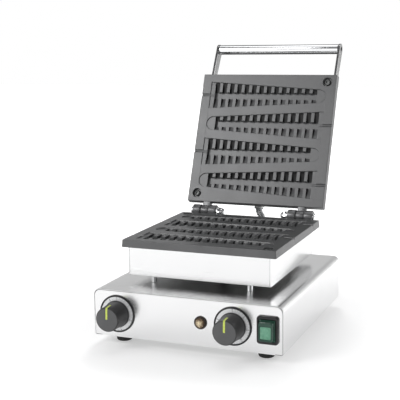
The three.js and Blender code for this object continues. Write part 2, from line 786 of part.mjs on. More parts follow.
/** Round scale plate with a raised rim, flat against the panel. */
function dialPlate(x) {
  const profile = [[DIAL.bore, GAP], [DIAL.outer, GAP], [DIAL.outer, DIAL.rim - 0.8]];
  profile.push([DIAL.outer - 0.9, DIAL.rim], [DIAL.scale, DIAL.rim], [DIAL.scale, DIAL.face]);
  profile.push([DIAL.bore, DIAL.face]);
  return turnForward(profile, x, FRONT_FACE, CONTROL_Z, 28);
}

/** Tall knob, a little tapered, with a rounded skirt and a blind bore for the spindle. */
function knob(x) {
  const base = DIAL.face + 0.5;
  const boreEnd = KNOB.length - 14;
  const profile = [[0, boreEnd], [SPINDLE.bore, boreEnd], [SPINDLE.bore, base], [KNOB.skirt, base]];
  profile.push([KNOB.skirt, base + 1.6], [KNOB.shoulder, base + 3], [KNOB.face, KNOB.length - 1.4]);
  profile.push([KNOB.face - 1.2, KNOB.length - 0.3], [0, KNOB.length]);
  return turnForward(profile, x, FRONT_FACE, CONTROL_Z, 28);
}

function spindle(x) {
  const [back, front] = [FRONT_FACE + 16, FRONT_FACE - KNOB.length + 15];
  return rod("y", SPINDLE.radius, front, back, [x, CONTROL_Z], 12);
}

/** Body behind the panel, bored for its spindle. */
function controlBody({ x, half, depth }) {
  const back = INSIDE_PANEL + depth;
  const body = block([x - half, INSIDE_PANEL, CONTROL_Z - half], [x + half, back, CONTROL_Z + half]);
  return carve([body], [rod("y", SPINDLE.bore, INSIDE_PANEL - 1, FRONT_FACE + 17, [x, CONTROL_Z], 16)]);
}

for (const control of CONTROLS) {
  place(machine, `${control.name}_body`, controlBody(control), MATERIAL.blackPlastic);
  place(machine, `${control.name}_dial`, dialPlate(control.x), MATERIAL.dial);
  place(machine, `${control.name}_spindle`, spindle(control.x), MATERIAL.zinc);
  place(machine, `${control.name}_knob`, knob(control.x), MATERIAL.knobPlastic);
}

// ---------------------------------------------------------------- pilot lamp

function lampBezel() {
  const { bezelRadius, lensRadius, barrel } = LAMP;
  const profile = [[barrel - 1.7, -24], [barrel, -24], [barrel, GAP], [bezelRadius, GAP]];
  profile.push([bezelRadius, 1.6], [bezelRadius - 1.2, 3.2], [lensRadius + GAP, 3.2]);
  profile.push([lensRadius + GAP, 1.4], [barrel - 1.7, 1.4]);
  return turnForward(profile, LAMP.x, FRONT_FACE, CONTROL_Z, 16);
}

function lampLens() {
  const { lensRadius } = LAMP;
  const profile = [[0, 1.7], [lensRadius, 1.7], [lensRadius, 3.4], [lensRadius - 1.2, 5.2]];
  profile.push([lensRadius - 3.2, 6.6], [0, 7.4]);
  return turnForward(profile, LAMP.x, FRONT_FACE, CONTROL_Z, 16);
}

place(machine, "lamp_bezel", lampBezel(), MATERIAL.blackPlastic);
place(machine, "lamp_lens", lampLens(), MATERIAL.amber);

// ---------------------------------------------------------------- power switch

const ROCKER_PIVOT = FRONT_FACE - 2;

function aroundSwitch(halfWidth, halfHeight, radius) {
  return roundedRectangle(
    SWITCH.x - halfWidth, CONTROL_Z - halfHeight, SWITCH.x + halfWidth, CONTROL_Z + halfHeight, radius);
}

/** Switch body behind the panel, with a bezel in front and a well that the rocker moves in. */
function switchHousing() {
  const { width, height, bezel, well } = SWITCH;
  const front = FRONT_FACE - GAP;
  const bezelBlock = runBack(aroundSwitch(width / 2, height / 2, 4.5), front - bezel, front);
  const bodyOutline = aroundSwitch(SWITCH_BODY.width / 2, SWITCH_BODY.height / 2, 1.5);
  const body = runBack(bodyOutline, front - 1, FRONT_FACE + SWITCH_BODY.depth, 3);
  const hollow = runBack(aroundSwitch(well[0] / 2, well[1] / 2, 0.8), front - bezel - 1, FRONT_FACE + 7, 3);
  return carve([bezelBlock, body], [hollow]);
}

/** Four-sided frustum facing the operator; the front end is smaller by the boot's taper. */
function frustum(width, height, back, front) {
  const corner = Math.SQRT1_2;
  const geometry = new THREE.CylinderGeometry(corner, corner * BOOT.taper, back - front, 4);
  geometry.rotateY(Math.PI / 4);
  geometry.scale(width, 1, height);
  geometry.translate(SWITCH.x, (back + front) / 2, CONTROL_Z);
  return geometry;
}

/** Soft clear cover over the rocker, open at the back. */
function switchBoot() {
  const [width, height] = [SWITCH.well[0] - 2 * GAP, SWITCH.well[1] - 2 * GAP];
  const back = FRONT_FACE - GAP - SWITCH.bezel + 2.5;
  const front = FRONT_FACE - BOOT.depth;
  const wall = BOOT.wall;
  const inside = frustum(width - 2 * wall, height - 2 * wall, back, front + wall);
  const mouth = frustum(width - 2 * wall, height - 2 * wall, back + 4, back - 0.5);
  return carve([frustum(width, height, back, front)], [inside, mouth]);
}

/** Rocker seen from the side, hollow-faced, turned to its rest position: top in, bottom out. */
function rocker() {
  const outline = polygon([[4, -8], [4, 8], [-2, 11.2], [-7, 11.2], [-5.6, 0], [-7, -11.2], [-2, -11.2]]);
  const geometry = runAcross(outline, -8.5, 8.5);
  geometry.rotateX(-THREE.MathUtils.degToRad(SWITCH.tilt));
  geometry.translate(SWITCH.x, ROCKER_PIVOT, CONTROL_Z);
  return carve([geometry]);
}

place(machine, "switch_housing", switchHousing(), MATERIAL.blackPlastic);
place(machine, "switch_boot", switchBoot(), MATERIAL.clearGreen);
place(machine, "switch_rocker", rocker(), MATERIAL.green);

// ---------------------------------------------------------------- wiring

/** Three-pole block on the base floor, where the mains and heater wires join. */
function terminalBlock() {
  const floor = BASE.bottom + 2 * SHEET + 2 * GAP;
  const [x, y] = [-60, 60];
  const body = block([x - 26, y - 10, floor], [x + 26, y + 10, floor + 17]);
  const entries = [-16, 0, 16].map((step) => rod("y", 3, y - 11, y + 11, [x + step, floor + 8], 12));
  return carve([body], entries);
}

/** Ring-shaped gland about the Z axis: thin neck below the sheet, flange and body above it. */
function gland(neckLength, bore) {
  const { neck, flange, length } = GLAND;
  const profile = [[bore, -neckLength], [neck, -neckLength], [neck, GAP], [flange, GAP], [flange, 3]];
  profile.push([flange - 1.5, 3.4], [flange - 1.5, length - 1], [flange - 2.4, length], [bore, length]);
  return turn(profile, 16);
}

/** Gland in the rear panel for a mains lead. */
function mainsGland() {
  const geometry = gland(5, 4);
  geometry.scale(1.15, 1.15, 1.15);
  geometry.rotateX(-Math.PI / 2);
  geometry.translate(MAINS.x, -FRONT_FACE, MAINS.z);
  return geometry;
}

/** Where a point of the closed lid stands with the lid open. */
function whenOpen(x, y, z) {
  const point = new THREE.Vector3(x, y - HINGE.y, z - HINGE.z);
  point.applyAxisAngle(new THREE.Vector3(1, 0, 0), -OPEN_ANGLE);
  return point.add(new THREE.Vector3(0, HINGE.y, HINGE.z));
}

/** Flexible metal conduit from the base top, up behind the plates, to the lid's casing. */
function conduit() {
  const { x, y } = CONDUIT;
  const points = [
    new THREE.Vector3(x, y, BASE.top - 4),
    new THREE.Vector3(x, y, BASE.top + 3),
    new THREE.Vector3(x, y, BASE.top + GLAND.length + 1),
    new THREE.Vector3(x, y + 6, BASE.top + 20),
    new THREE.Vector3(x - 2, y + 22, BASE.top + 36),
    new THREE.Vector3(x - 6, y + 34.5, BASE.top + 54),
    whenOpen(2.5, CASING.back + 16, LID_GLAND_Z),
    whenOpen(0, CASING.back + GLAND.length, LID_GLAND_Z),
    whenOpen(0, CASING.back + 3, LID_GLAND_Z),
    whenOpen(0, CASING.back - 4, LID_GLAND_Z),
  ];
  const curve = new THREE.CatmullRomCurve3(points, false, "centripetal");
  return sweep(curve, CONDUIT.radius, 24, 10);
}

/** Gland standing on the base top, round the conduit's lower end. */
function baseGland() {
  const geometry = gland(4, CONDUIT.radius + 0.5);
  geometry.translate(CONDUIT.x, CONDUIT.y, BASE.top);
  return geometry;
}

/** Gland in the back wall of the lid's casing, round the conduit's upper end. */
function lidGland() {
  const geometry = gland(4, CONDUIT.radius + 0.5);
  geometry.rotateX(-Math.PI / 2);
  geometry.translate(0, CASING.back, LID_GLAND_Z);
  return geometry;
}

place(machine, "terminal_block", terminalBlock(), MATERIAL.ceramic);
place(machine, "mains_gland", mainsGland(), MATERIAL.blackPlastic);
place(machine, "base_conduit_gland", baseGland(), MATERIAL.zinc);
place(machine, "wiring_conduit", conduit(), MATERIAL.chrome);
place(lid, "lid_conduit_gland", lidGland(), MATERIAL.zinc);

// ---------------------------------------------------------------- handle

const ARM_INNER = CASING.lidWidth / 2 + GAP;
const ARM_OUTER = ARM_INNER + HANDLE.barThickness;

/** Flat bar along the casing's side, bent up towards the tube and rounded round its end. */
function handleArm(sign) {
  const half = HANDLE.barWidth / 2;
  const rise = Math.atan2(HANDLE.z - HANDLE.z0, HANDLE.bendY - HANDLE.y);
  const start = Math.PI / 2 - rise;
  const outline = new THREE.Shape();
  outline.moveTo(HANDLE.bendY, HANDLE.z0 - half);
  outline.lineTo(HANDLE.backEnd, HANDLE.z0 - half);
  outline.lineTo(HANDLE.backEnd, HANDLE.z0 + half);
  outline.lineTo(HANDLE.bendY, HANDLE.z0 + half);
  outline.absarc(HANDLE.y, HANDLE.z, HANDLE.endRadius, start, start + Math.PI);
  const ends = [sign * ARM_INNER, sign * ARM_OUTER].sort((a, b) => a - b);
  const bar = runAcross(outline, ...ends, 7);
  const reach = [ends[0] - 1, ends[1] + 1];
  const holes = ARM_BOLTS.map((y) => rod("x", SCREW.clearance, ...reach, [y, HANDLE.z0], 8));
  holes.push(rod("x", HANDLE.spigot + GAP, ...reach, [HANDLE.y, HANDLE.z], 20));
  return carve([bar], holes);
}

/** Grip tube, turned down at both ends to spigots riveted into the arms. */
function handleTube() {
  const { tubeRadius, spigot } = HANDLE;
  const [shoulder, end] = [ARM_INNER - GAP, ARM_OUTER];
  const profile = [[0, -end], [spigot, -end], [spigot, -shoulder], [tubeRadius - 0.6, -shoulder]];
  profile.push([tubeRadius, -shoulder + 0.6], [tubeRadius, shoulder - 0.6], [tubeRadius - 0.6, shoulder]);
  profile.push([spigot, shoulder], [spigot, end], [0, end]);
  const geometry = turn(profile, 20);
  geometry.rotateY(Math.PI / 2);
  geometry.translate(0, HANDLE.y, HANDLE.z);
  return geometry;
}

/** Button-head screw through an arm and the casing's wall. */
function armScrew(sign, y) {
  const [tip, seat] = [ARM_INNER - 7, ARM_OUTER + GAP];
  const { shank, head } = SCREW;
  const profile = [[0, tip], [shank, tip], [shank, seat], [head, seat], [head, seat + 1]];
  profile.push([head - 1.2, seat + 2.2], [0, seat + 2.6]);
  const geometry = turn(profile, 10);
  geometry.rotateY((sign * Math.PI) / 2);
  geometry.translate(0, y, HANDLE.z0);
  return geometry;
}

place(lid, "handle_tube", handleTube(), MATERIAL.chrome);
for (const { name, sign } of SIDES) {
  place(lid, `handle_arm_${name}`, handleArm(sign), MATERIAL.steel);
  ARM_BOLTS.forEach((y, i) => {
    place(lid, `handle_screw_${name}_${i + 1}`, armScrew(sign, y), MATERIAL.zinc);
  });
}

export default machine;
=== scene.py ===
"""Looks of a counter-top waffle-stick maker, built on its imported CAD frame.

Shapes are worked out in millimetres and scaled to metres when a piece is made. Pieces on the lid
are modelled as if it were shut, in the frame's own axes, and then turned open about the hinge.
"""

import json
import math

import bmesh
import bpy
import numpy as np
from mathutils import Matrix, Vector


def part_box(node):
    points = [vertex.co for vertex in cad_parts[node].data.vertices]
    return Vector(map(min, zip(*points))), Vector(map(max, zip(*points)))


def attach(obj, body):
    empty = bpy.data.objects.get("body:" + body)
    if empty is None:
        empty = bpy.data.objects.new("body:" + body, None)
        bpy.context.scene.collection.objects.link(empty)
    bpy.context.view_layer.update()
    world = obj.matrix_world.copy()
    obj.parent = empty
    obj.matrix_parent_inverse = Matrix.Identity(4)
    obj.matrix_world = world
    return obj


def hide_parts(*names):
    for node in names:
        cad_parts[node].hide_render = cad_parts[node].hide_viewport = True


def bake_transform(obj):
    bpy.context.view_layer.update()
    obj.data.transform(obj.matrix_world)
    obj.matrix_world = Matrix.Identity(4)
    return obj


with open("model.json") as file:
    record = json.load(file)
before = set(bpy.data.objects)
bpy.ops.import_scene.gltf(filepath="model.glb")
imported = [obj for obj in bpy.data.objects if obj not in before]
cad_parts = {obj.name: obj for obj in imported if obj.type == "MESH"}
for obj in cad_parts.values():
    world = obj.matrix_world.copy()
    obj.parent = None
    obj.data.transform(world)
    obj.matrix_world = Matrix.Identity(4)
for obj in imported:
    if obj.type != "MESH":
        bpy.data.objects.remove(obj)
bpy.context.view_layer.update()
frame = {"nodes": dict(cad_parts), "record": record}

MM = 0.001

# ---------------------------------------------------------------- sizes, read from the frame

JOINTS = {joint["name"]: joint for joint in frame["record"]["behaviour"]["joints"]}
HINGE = Vector(JOINTS["lid_hinge"]["pos_m"]) / MM
OPEN_ANGLE = math.radians(JOINTS["lid_hinge"]["range_deg"][1])
TO_HINGE = Matrix.Translation(HINGE)
OPEN_LID = TO_HINGE @ Matrix.Rotation(-OPEN_ANGLE, 4, "X") @ TO_HINGE.inverted()


def box(node):
    """Lowest and highest corner of a CAD node in millimetres."""
    low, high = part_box(node)
    return low / MM, high / MM


def closed_box(node):
    """The same for a node on the lid, with the lid shut."""
    shut = OPEN_LID.inverted()
    points = np.array([shut @ (v.co / MM) for v in frame["nodes"][node].data.vertices])
    return Vector(points.min(0)), Vector(points.max(0))


def middle_x(node):
    """X of the middle of a CAD node."""
    low, high = box(node)
    return (low.x + high.x) / 2


BASE_LOW, BASE_HIGH = box("base_shell")
FRONT = BASE_LOW.y
CASING_LOW, CASING_HIGH = box("lower_casing")
LID_CASING_LOW, LID_CASING_HIGH = closed_box("upper_casing")
PLATE_BOTTOM = box("lower_plate")[0].z
TUBE_LOW, TUBE_HIGH = closed_box("handle_tube")
ARM_LOW, ARM_HIGH = closed_box("handle_arm_right")

SHEET = 1.2
GAP = 0.3
CONTROL_Z = 50.0
PLATE = {"half": 123.5, "front": -111.0, "back": 125.0, "corner": 1.2, "thickness": 11.7, "draft": 1.0}
PLATE_TOP = PLATE_BOTTOM + PLATE["thickness"]
LID_FACE = PLATE_TOP + GAP
LANE = {
    "pitch": 52.6,
    "half_length": 107.0,
    "wide": 24.5,
    "narrow": 12.0,
    "pan": 1.8,
    "channel": 5.5,
    "channel_depth": 8.8,
    "edge_depth": 3.0,
    "grooves": 14,
    "groove_pitch": 14.0,
    "groove_half": 3.75,
    "first_groove": -95.0,
    "stick": 2.6,
    "draft": 0.9,
}
RECESSES = [(107.5, -98.0), (-107.5, 110.0)]
RECESS = {"radius": 8.0, "depth": 5.5, "hole": 3.2}


# ---------------------------------------------------------------- shapes


def rounded_rectangle(low, high, radius, steps=6):
    """Points of a rectangle with round corners, anticlockwise."""
    corners = [(high[0], low[1], -90), (high[0], high[1], 0), (low[0], high[1], 90), (low[0], low[1], 180)]
    points = []
    for x, y, start in corners:
        centre_x = x - math.copysign(radius, x - (low[0] + high[0]) / 2)
        centre_y = y - math.copysign(radius, y - (low[1] + high[1]) / 2)
        for i in range(steps + 1):
            angle = math.radians(start + 90 * i / steps)
            points.append((centre_x + radius * math.cos(angle), centre_y + radius * math.sin(angle)))
    return points


def centred_rectangle(width, height, radius, steps=6):
    return rounded_rectangle((-width / 2, -height / 2), (width / 2, height / 2), radius, steps)


def at_height(outline, z):
    return [(x, y, z) for x, y in outline]


def fillet(points, radius, steps=4, closed=False):
    """Round each corner of a line of 2-D points; radius is one number or one for each point."""
    count = len(points)
    radii = radius if isinstance(radius, (list, tuple)) else [radius] * count
    result = []
    for i, point in enumerate(points):
        here = Vector(point)
        ends = not closed and i in (0, count - 1)
        if ends or radii[i] <= 0:
            result.append(tuple(here))
            continue
        before, after = Vector(points[i - 1]) - here, Vector(points[(i + 1) % count]) - here
        half = before.angle(after) / 2 if before.length * after.length > 0 else 0
        if half < 0.02 or half > math.pi / 2 - 0.02:
            result.append(tuple(here))
            continue
        reach = min(radii[i] / math.tan(half), 0.49 * before.length, 0.49 * after.length)
        start, end = here + before.normalized() * reach, here + after.normalized() * reach
        for k in range(steps + 1):
            t = k / steps
            result.append(tuple(start * (1 - t) ** 2 + here * 2 * t * (1 - t) + end * t**2))
    return result


def loft(loops, closed=False, caps=(True, True)):
    """Faces between loops of equally many points, each next to the one before."""
    count = len(loops[0])
    vertices = [point for loop in loops for point in loop]
    faces = []
    for ring in range(len(loops) if closed else len(loops) - 1):
        a, b = ring * count, (ring + 1) % len(loops) * count
        for i in range(count):
            j = (i + 1) % count
            faces.append((a + i, a + j, b + j, b + i))
    if not closed and caps[0]:
        faces.append(tuple(range(count - 1, -1, -1)))
    if not closed and caps[1]:
        faces.append(tuple(range(len(vertices) - count, len(vertices))))
    return vertices, faces


def circle(radius, z, count=64):
    turns = [2 * math.pi * i / count for i in range(count)]
    return [(radius * math.cos(a), radius * math.sin(a), z) for a in turns]


def rings(*sizes):
    """Circles of 48 points, one for each (radius, height)."""
    return [circle(radius, z, 48) for radius, z in sizes]


def hexagon(flats, z, count=48):
    """A hexagon of that half-width across its flats, with as many points as a circle's."""
    points = []
    for i in range(count):
        angle = 2 * math.pi * i / count
        reach = flats / math.cos((angle + math.pi / 6) % (math.pi / 3) - math.pi / 6)
        points.append((reach * math.cos(angle), reach * math.sin(angle), z))
    return points


def lathe(profile, count=64, closed=False):
    """A profile of (radius, height) points turned about Z; radius 0 makes a pole."""
    loops = [circle(max(radius, 1e-3), height, count) for radius, height in profile]
    return loft(loops, closed=closed, caps=(True, True))


def slab(outline, low, high, edge=0.5, steps=2):
    """A flat outline raised from low to high, with its edges rounded by shrinking the end loops."""
    loops = []
    for z, direction in ((low, 1), (high, -1)):
        ends = []
        for k in range(steps + 1):
            angle = math.pi / 2 * k / steps
            inset = edge * (1 - math.sin(angle))
            ends.append(at_height(shrink(outline, inset), z + direction * edge * (1 - math.cos(angle))))
        loops += ends if direction > 0 else ends[::-1]
    return loft(loops)


def shrink(outline, inset):
    """Move each side of an anticlockwise outline inwards, keeping its number of points."""
    if inset == 0:
        return list(outline)
    points = [Vector(p) for p in outline]
    result = []
    for i, here in enumerate(points):
        before = (here - points[i - 1]).normalized()
        after = (points[(i + 1) % len(points)] - here).normalized()
        normal = Vector((-before.y - after.y, before.x + after.x))
        scale = inset / max(0.35, normal.length / 2)
        result.append(tuple(here + normal.normalized() * scale))
    return result


def ribbon_section(path, thickness):
    """Closed outline of a sheet of that thickness along a 2-D path."""
    points = [Vector(p) for p in path]
    left, right = [], []
    for i, here in enumerate(points):
        ahead = points[min(i + 1, len(points) - 1)] - points[max(i - 1, 0)]
        normal = Vector((-ahead.y, ahead.x)).normalized() * thickness / 2
        left.append(tuple(here + normal))
        right.append(tuple(here - normal))
    return right + left[::-1]


def join(*geometries):
    vertices, faces = [], []
    for more_vertices, more_faces in geometries:
        start = len(vertices)
        vertices += list(more_vertices)
        faces += [tuple(start + i for i in face) for face in more_faces]
    return vertices, faces


def moved(geometry, matrix):
    vertices, faces = geometry
    return [tuple(matrix @ Vector(v)) for v in vertices], faces


def across(geometry):
    """Turn a shape drawn in X and Y and raised along Z so that it is drawn in Y and Z and runs along X."""
    return moved(geometry, Matrix(((0, 0, 1, 0), (1, 0, 0, 0), (0, 1, 0, 0), (0, 0, 0, 1))))


def facing_front(x, z, y=None):
    """Placement of a piece whose own Z points at the operator, on the front panel."""
    turn = Matrix(((1, 0, 0, 0), (0, 0, -1, 0), (0, 1, 0, 0), (0, 0, 0, 1)))
    return Matrix.Translation((x, FRONT if y is None else y, z)) @ turn


def in_metres(matrix):
    result = matrix.copy()
    result.translation = matrix.translation * MM
    return result


def plain_mesh(name, geometry):
    """A mesh in metres from geometry in millimetres."""
    vertices, faces = geometry
    mesh = bpy.data.meshes.new(name)
    mesh.from_pydata([Vector(v) * MM for v in vertices], [], faces)
    return mesh


def face_outwards(mesh, merge=False):
    """Turn every face outwards, after joining points that coincide if merge is set."""
    work = bmesh.new()
    work.from_mesh(mesh)
    if merge:
        bmesh.ops.remove_doubles(work, verts=work.verts, dist=1e-7)
    bmesh.ops.recalc_face_normals(work, faces=work.faces)
    work.to_mesh(mesh)
    work.free()


def smooth(mesh, angle=None):
    """Shade a mesh smooth, apart from edges sharper than that angle in degrees."""
    mesh.polygons.foreach_set("use_smooth", [True] * len(mesh.polygons))
    if angle is not None:
        mesh.set_sharp_from_angle(angle=math.radians(angle))


def in_scene(name, data):
    """A new object for that mesh, light or camera, linked to the scene."""
    obj = bpy.data.objects.new(name, data)
    bpy.context.collection.objects.link(obj)
    return obj


def piece(name, geometry, material, body, place=None, stands_for=(), angle=32):
    """Make a mesh object from millimetre geometry, smooth it, and fix it to a CAD body."""
    mesh = plain_mesh(name, geometry)
    face_outwards(mesh, merge=True)
    smooth(mesh, angle)
    mesh.materials.append(material)
    obj = in_scene(name, mesh)
    if place is not None:
        obj.matrix_world = in_metres(place)
    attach(obj, body)
    if stands_for:
        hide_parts(*stands_for)
    return obj


# ---------------------------------------------------------------- materials


class Surface:
    """A node material built round one Principled shader, with object coordinates for its detail."""

    def __init__(self, name, **values):
        self.material = bpy.data.materials.new(name)
        self.material.use_nodes = True
        self.tree = self.material.node_tree
        self.shader = self.tree.nodes["Principled BSDF"]
        self.coordinates = self.tree.nodes.new("ShaderNodeTexCoord").outputs["Object"]
        for socket, value in values.items():
            self.shader.inputs[socket.replace("_", " ")].default_value = value

    def link(self, a, b):
        self.tree.links.new(a, b)

    def noise(self, stretch=(1, 1, 1), scale=1.0, detail=2.0, roughness=0.5):
        """Noise whose scale is in features for each metre, along each of the object's axes."""
        mapping = self.tree.nodes.new("ShaderNodeMapping")
        mapping.inputs["Scale"].default_value = stretch
        self.link(self.coordinates, mapping.inputs["Vector"])
        node = self.tree.nodes.new("ShaderNodeTexNoise")
        node.inputs["Scale"].default_value = scale
        node.inputs["Detail"].default_value = detail
        node.inputs["Roughness"].default_value = roughness
        self.link(mapping.outputs["Vector"], node.inputs["Vector"])
        return node.outputs["Fac"]

    def radius(self):
        """Distance from the object's own Z axis, in metres."""
        flat = self.tree.nodes.new("ShaderNodeVectorMath")
        flat.operation = "MULTIPLY"
        flat.inputs[1].default_value = (1.0, 1.0, 0.0)
        self.link(self.coordinates, flat.inputs[0])
        length = self.tree.nodes.new("ShaderNodeVectorMath")
        length.operation = "LENGTH"
        self.link(flat.outputs["Vector"], length.inputs[0])
        return length.outputs["Value"]

    def remap(self, value, low, high, start=0.3, end=0.7):
        node = self.tree.nodes.new("ShaderNodeMapRange")
        node.inputs["From Min"].default_value = start
        node.inputs["From Max"].default_value = end
        node.inputs["To Min"].default_value = low
        node.inputs["To Max"].default_value = high
        self.link(value, node.inputs["Value"])
        return node.outputs["Result"]

    def add(self, a, b):
        node = self.tree.nodes.new("ShaderNodeMath")
        node.operation = "ADD"
        self.link(a, node.inputs[0])
        self.link(b, node.inputs[1])
        return node.outputs[0]

    def colours(self, value, dark, light, start=0.3, end=0.7):
        node = self.tree.nodes.new("ShaderNodeValToRGB")
        node.color_ramp.elements[0].position = start
        node.color_ramp.elements[0].color = (*dark, 1)
        node.color_ramp.elements[1].position = end
        node.color_ramp.elements[1].color = (*light, 1)
        self.link(value, node.inputs["Fac"])
        self.link(node.outputs["Color"], self.shader.inputs["Base Color"])
        return node.outputs["Color"]

    def rough(self, value):
        self.link(value, self.shader.inputs["Roughness"])

    def bump(self, height, strength, distance):
        """Distance is the relief's depth in metres."""
        node = self.tree.nodes.new("ShaderNodeBump")
        node.inputs["Strength"].default_value = strength
        node.inputs["Distance"].default_value = distance
        self.link(height, node.inputs["Height"])
        self.link(node.outputs["Normal"], self.shader.inputs["Normal"])


def brushed_steel(name, stretch, tone=0.78, low=0.19, high=0.26):
    """Stainless sheet: fine parallel scratches, with faint broad smears in the gloss."""
    surface = Surface(name, Metallic=1.0)
    grain = surface.noise(stretch, detail=3.0)
    smears = surface.noise(scale=14.0, detail=3.0)
    surface.colours(grain, (tone * 0.97,) * 3, (tone, tone * 1.003, tone * 1.008))
    surface.rough(surface.add(surface.remap(grain, low, high), surface.remap(smears, -0.02, 0.03)))
    surface.bump(grain, 0.03, 0.00002)
    return surface.material


def nonstick_coating(name="nonstick_coating", tone=1.0, sheen=1.0):
    """Sprayed charcoal coating on cast metal: fine orange peel, a light speckle, worn sheen."""
    surface = Surface(name, Metallic=0.3 * sheen, Specular_IOR_Level=sheen)
    speckle = surface.noise(scale=2600.0, detail=2.0)
    patches = surface.noise(scale=26.0, detail=4.0, roughness=0.6)
    mixed = surface.add(surface.remap(speckle, 0.0, 0.55), surface.remap(patches, 0.0, 0.45))
    dark, light = Vector((0.068, 0.069, 0.071)) * tone, Vector((0.114, 0.115, 0.117)) * tone
    surface.colours(mixed, dark, light, 0.1, 0.9)
    surface.rough(surface.remap(mixed, 0.34, 0.46, 0.1, 0.9))
    peel = surface.noise(scale=900.0, detail=3.0)
    surface.bump(peel, 0.25, 0.00012)
    return surface.material


def cast_metal():
    """The hinge barrels: the same coating over rougher as-cast metal, in a lighter tone than the plates as
    painted light.
    """
    surface = Surface("coated_cast_hinge", Metallic=0.6)
    grain = surface.noise(scale=700.0, detail=4.0, roughness=0.65)
    surface.colours(grain, (0.11, 0.112, 0.115), (0.2, 0.2, 0.203))
    surface.rough(surface.remap(grain, 0.28, 0.42))
    surface.bump(grain, 0.35, 0.0002)
    return surface.material


def chrome():
    """Bright plating with hairline polishing marks and light handling haze."""
    surface = Surface("polished_chrome", Metallic=1.0)
    marks = surface.noise((900, 30, 30), detail=3.0)
    haze = surface.noise(scale=60.0, detail=2.0)
    surface.colours(haze, (0.82, 0.83, 0.84), (0.9, 0.905, 0.91))
    surface.rough(surface.add(surface.remap(marks, 0.03, 0.06), surface.remap(haze, 0.0, 0.03)))
    surface.bump(marks, 0.04, 0.00003)
    return surface.material


def conduit_metal():
    """Dull nickel-plated strip; the troughs between the ribs lie in the shape itself."""
    surface = Surface("nickelled_conduit", Metallic=1.0)
    stain = surface.noise(scale=160.0, detail=3.0)
    surface.colours(stain, (0.26, 0.265, 0.27), (0.42, 0.425, 0.43))
    surface.rough(surface.remap(stain, 0.2, 0.34))
    return surface.material


def zinc_plate(name="zinc_plate", tone=1.0, low=0.3, high=0.5):
    """Zinc-plated steel with faint crystals; the screws in the plates are the same, dulled by heat."""
    surface = Surface(name, Metallic=1.0)
    crystals = surface.noise(scale=420.0, detail=3.0)
    surface.colours(crystals, Vector((0.36, 0.37, 0.37)) * tone, Vector((0.5, 0.51, 0.5)) * tone)
    surface.rough(surface.remap(crystals, low, high))
    surface.bump(crystals, 0.12, 0.00008)
    return surface.material


def heater_sheath():
    surface = Surface("heater_sheath", Metallic=1.0)
    tint = surface.noise(scale=30.0, detail=3.0)
    surface.colours(tint, (0.2, 0.14, 0.11), (0.42, 0.36, 0.3))
    surface.rough(surface.remap(tint, 0.35, 0.55))
    return surface.material


def moulded_plastic(name, dark, light, low=0.32, high=0.45, texture=1500.0, depth=0.00006):
    """Injection-moulded plastic with a fine spark-eroded skin."""
    surface = Surface(name, Specular_IOR_Level=0.45)
    skin = surface.noise(scale=texture, detail=2.0)
    tone = surface.noise(scale=45.0, detail=2.0)
    surface.colours(tone, dark, light)
    surface.rough(surface.remap(skin, low, high))
    surface.bump(skin, 0.25, depth)
    return surface.material


def pointer_paint():
    surface = Surface("pointer_paint", Specular_IOR_Level=0.4)
    tone = surface.noise(scale=500.0, detail=2.0)
    surface.colours(tone, (0.52, 0.62, 0.08), (0.66, 0.76, 0.16))
    surface.rough(surface.remap(tone, 0.35, 0.5))
    return surface.material


def spun_aluminium():
    """Dial face: concentric turning marks about the piece's own axis."""
    surface = Surface("spun_aluminium", Metallic=0.35)
    turning = surface.tree.nodes.new("ShaderNodeTexNoise")
    turning.noise_dimensions = "1D"
    turning.inputs["Scale"].default_value = 3500.0
    surface.link(surface.radius(), turning.inputs["W"])
    surface.colours(turning.outputs["Fac"], (0.7, 0.71, 0.72), (0.9, 0.905, 0.91))
    surface.rough(surface.remap(turning.outputs["Fac"], 0.25, 0.36))
    surface.bump(turning.outputs["Fac"], 0.1, 0.00004)
    return surface.material


def lamp_plastic():
    """Amber lens: a brown body with painted light, bright grains and a bright middle painted into its colour.
    """
    surface = Surface("amber_lens", Specular_IOR_Level=0.6)
    cells = surface.tree.nodes.new("ShaderNodeTexVoronoi")
    cells.inputs["Scale"].default_value = 420.0
    surface.link(surface.coordinates, cells.inputs["Vector"])
    # Painted light: the colour brightens at the grains' centres and towards the middle of the dome.
    glow = surface.add(surface.remap(cells.outputs["Distance"], 0.45, 0.0, 0.05, 0.7),
                       surface.remap(surface.radius(), 0.55, 0.0, 0.0, 0.0065))
    surface.colours(glow, (0.12, 0.065, 0.03), (1.0, 0.84, 0.55), 0.1, 0.8)
    surface.rough(surface.remap(cells.outputs["Distance"], 0.12, 0.3, 0.0, 0.8))
    surface.bump(cells.outputs["Distance"], 0.5, 0.0003)
    return surface.material


def clear_cover():
    """Soft splash-proof window over the switch: hazy, greenish from the rocker below."""
    surface = Surface("clear_green_cover", Alpha=0.6, Specular_IOR_Level=0.6)
    haze = surface.noise(scale=260.0, detail=3.0)
    surface.colours(haze, (0.15, 0.42, 0.27), (0.24, 0.55, 0.38))
    surface.rough(surface.remap(haze, 0.12, 0.26))
    surface.bump(haze, 0.3, 0.0002)
    return surface.material


def rocker_plastic():
    surface = Surface("green_rocker", Specular_IOR_Level=0.5)
    tone = surface.noise(scale=120.0, detail=2.0)
    surface.colours(tone, (0.22, 0.62, 0.4), (0.3, 0.72, 0.5))
    surface.rough(surface.remap(tone, 0.2, 0.32))
    return surface.material


def foot_rubber():
    surface = Surface("foot_rubber", Specular_IOR_Level=0.35)
    dust = surface.noise(scale=300.0, detail=4.0)
    surface.colours(dust, (0.012, 0.012, 0.012), (0.028, 0.028, 0.027))
    surface.rough(surface.remap(dust, 0.55, 0.75))
    surface.bump(dust, 0.3, 0.0002)
    return surface.material


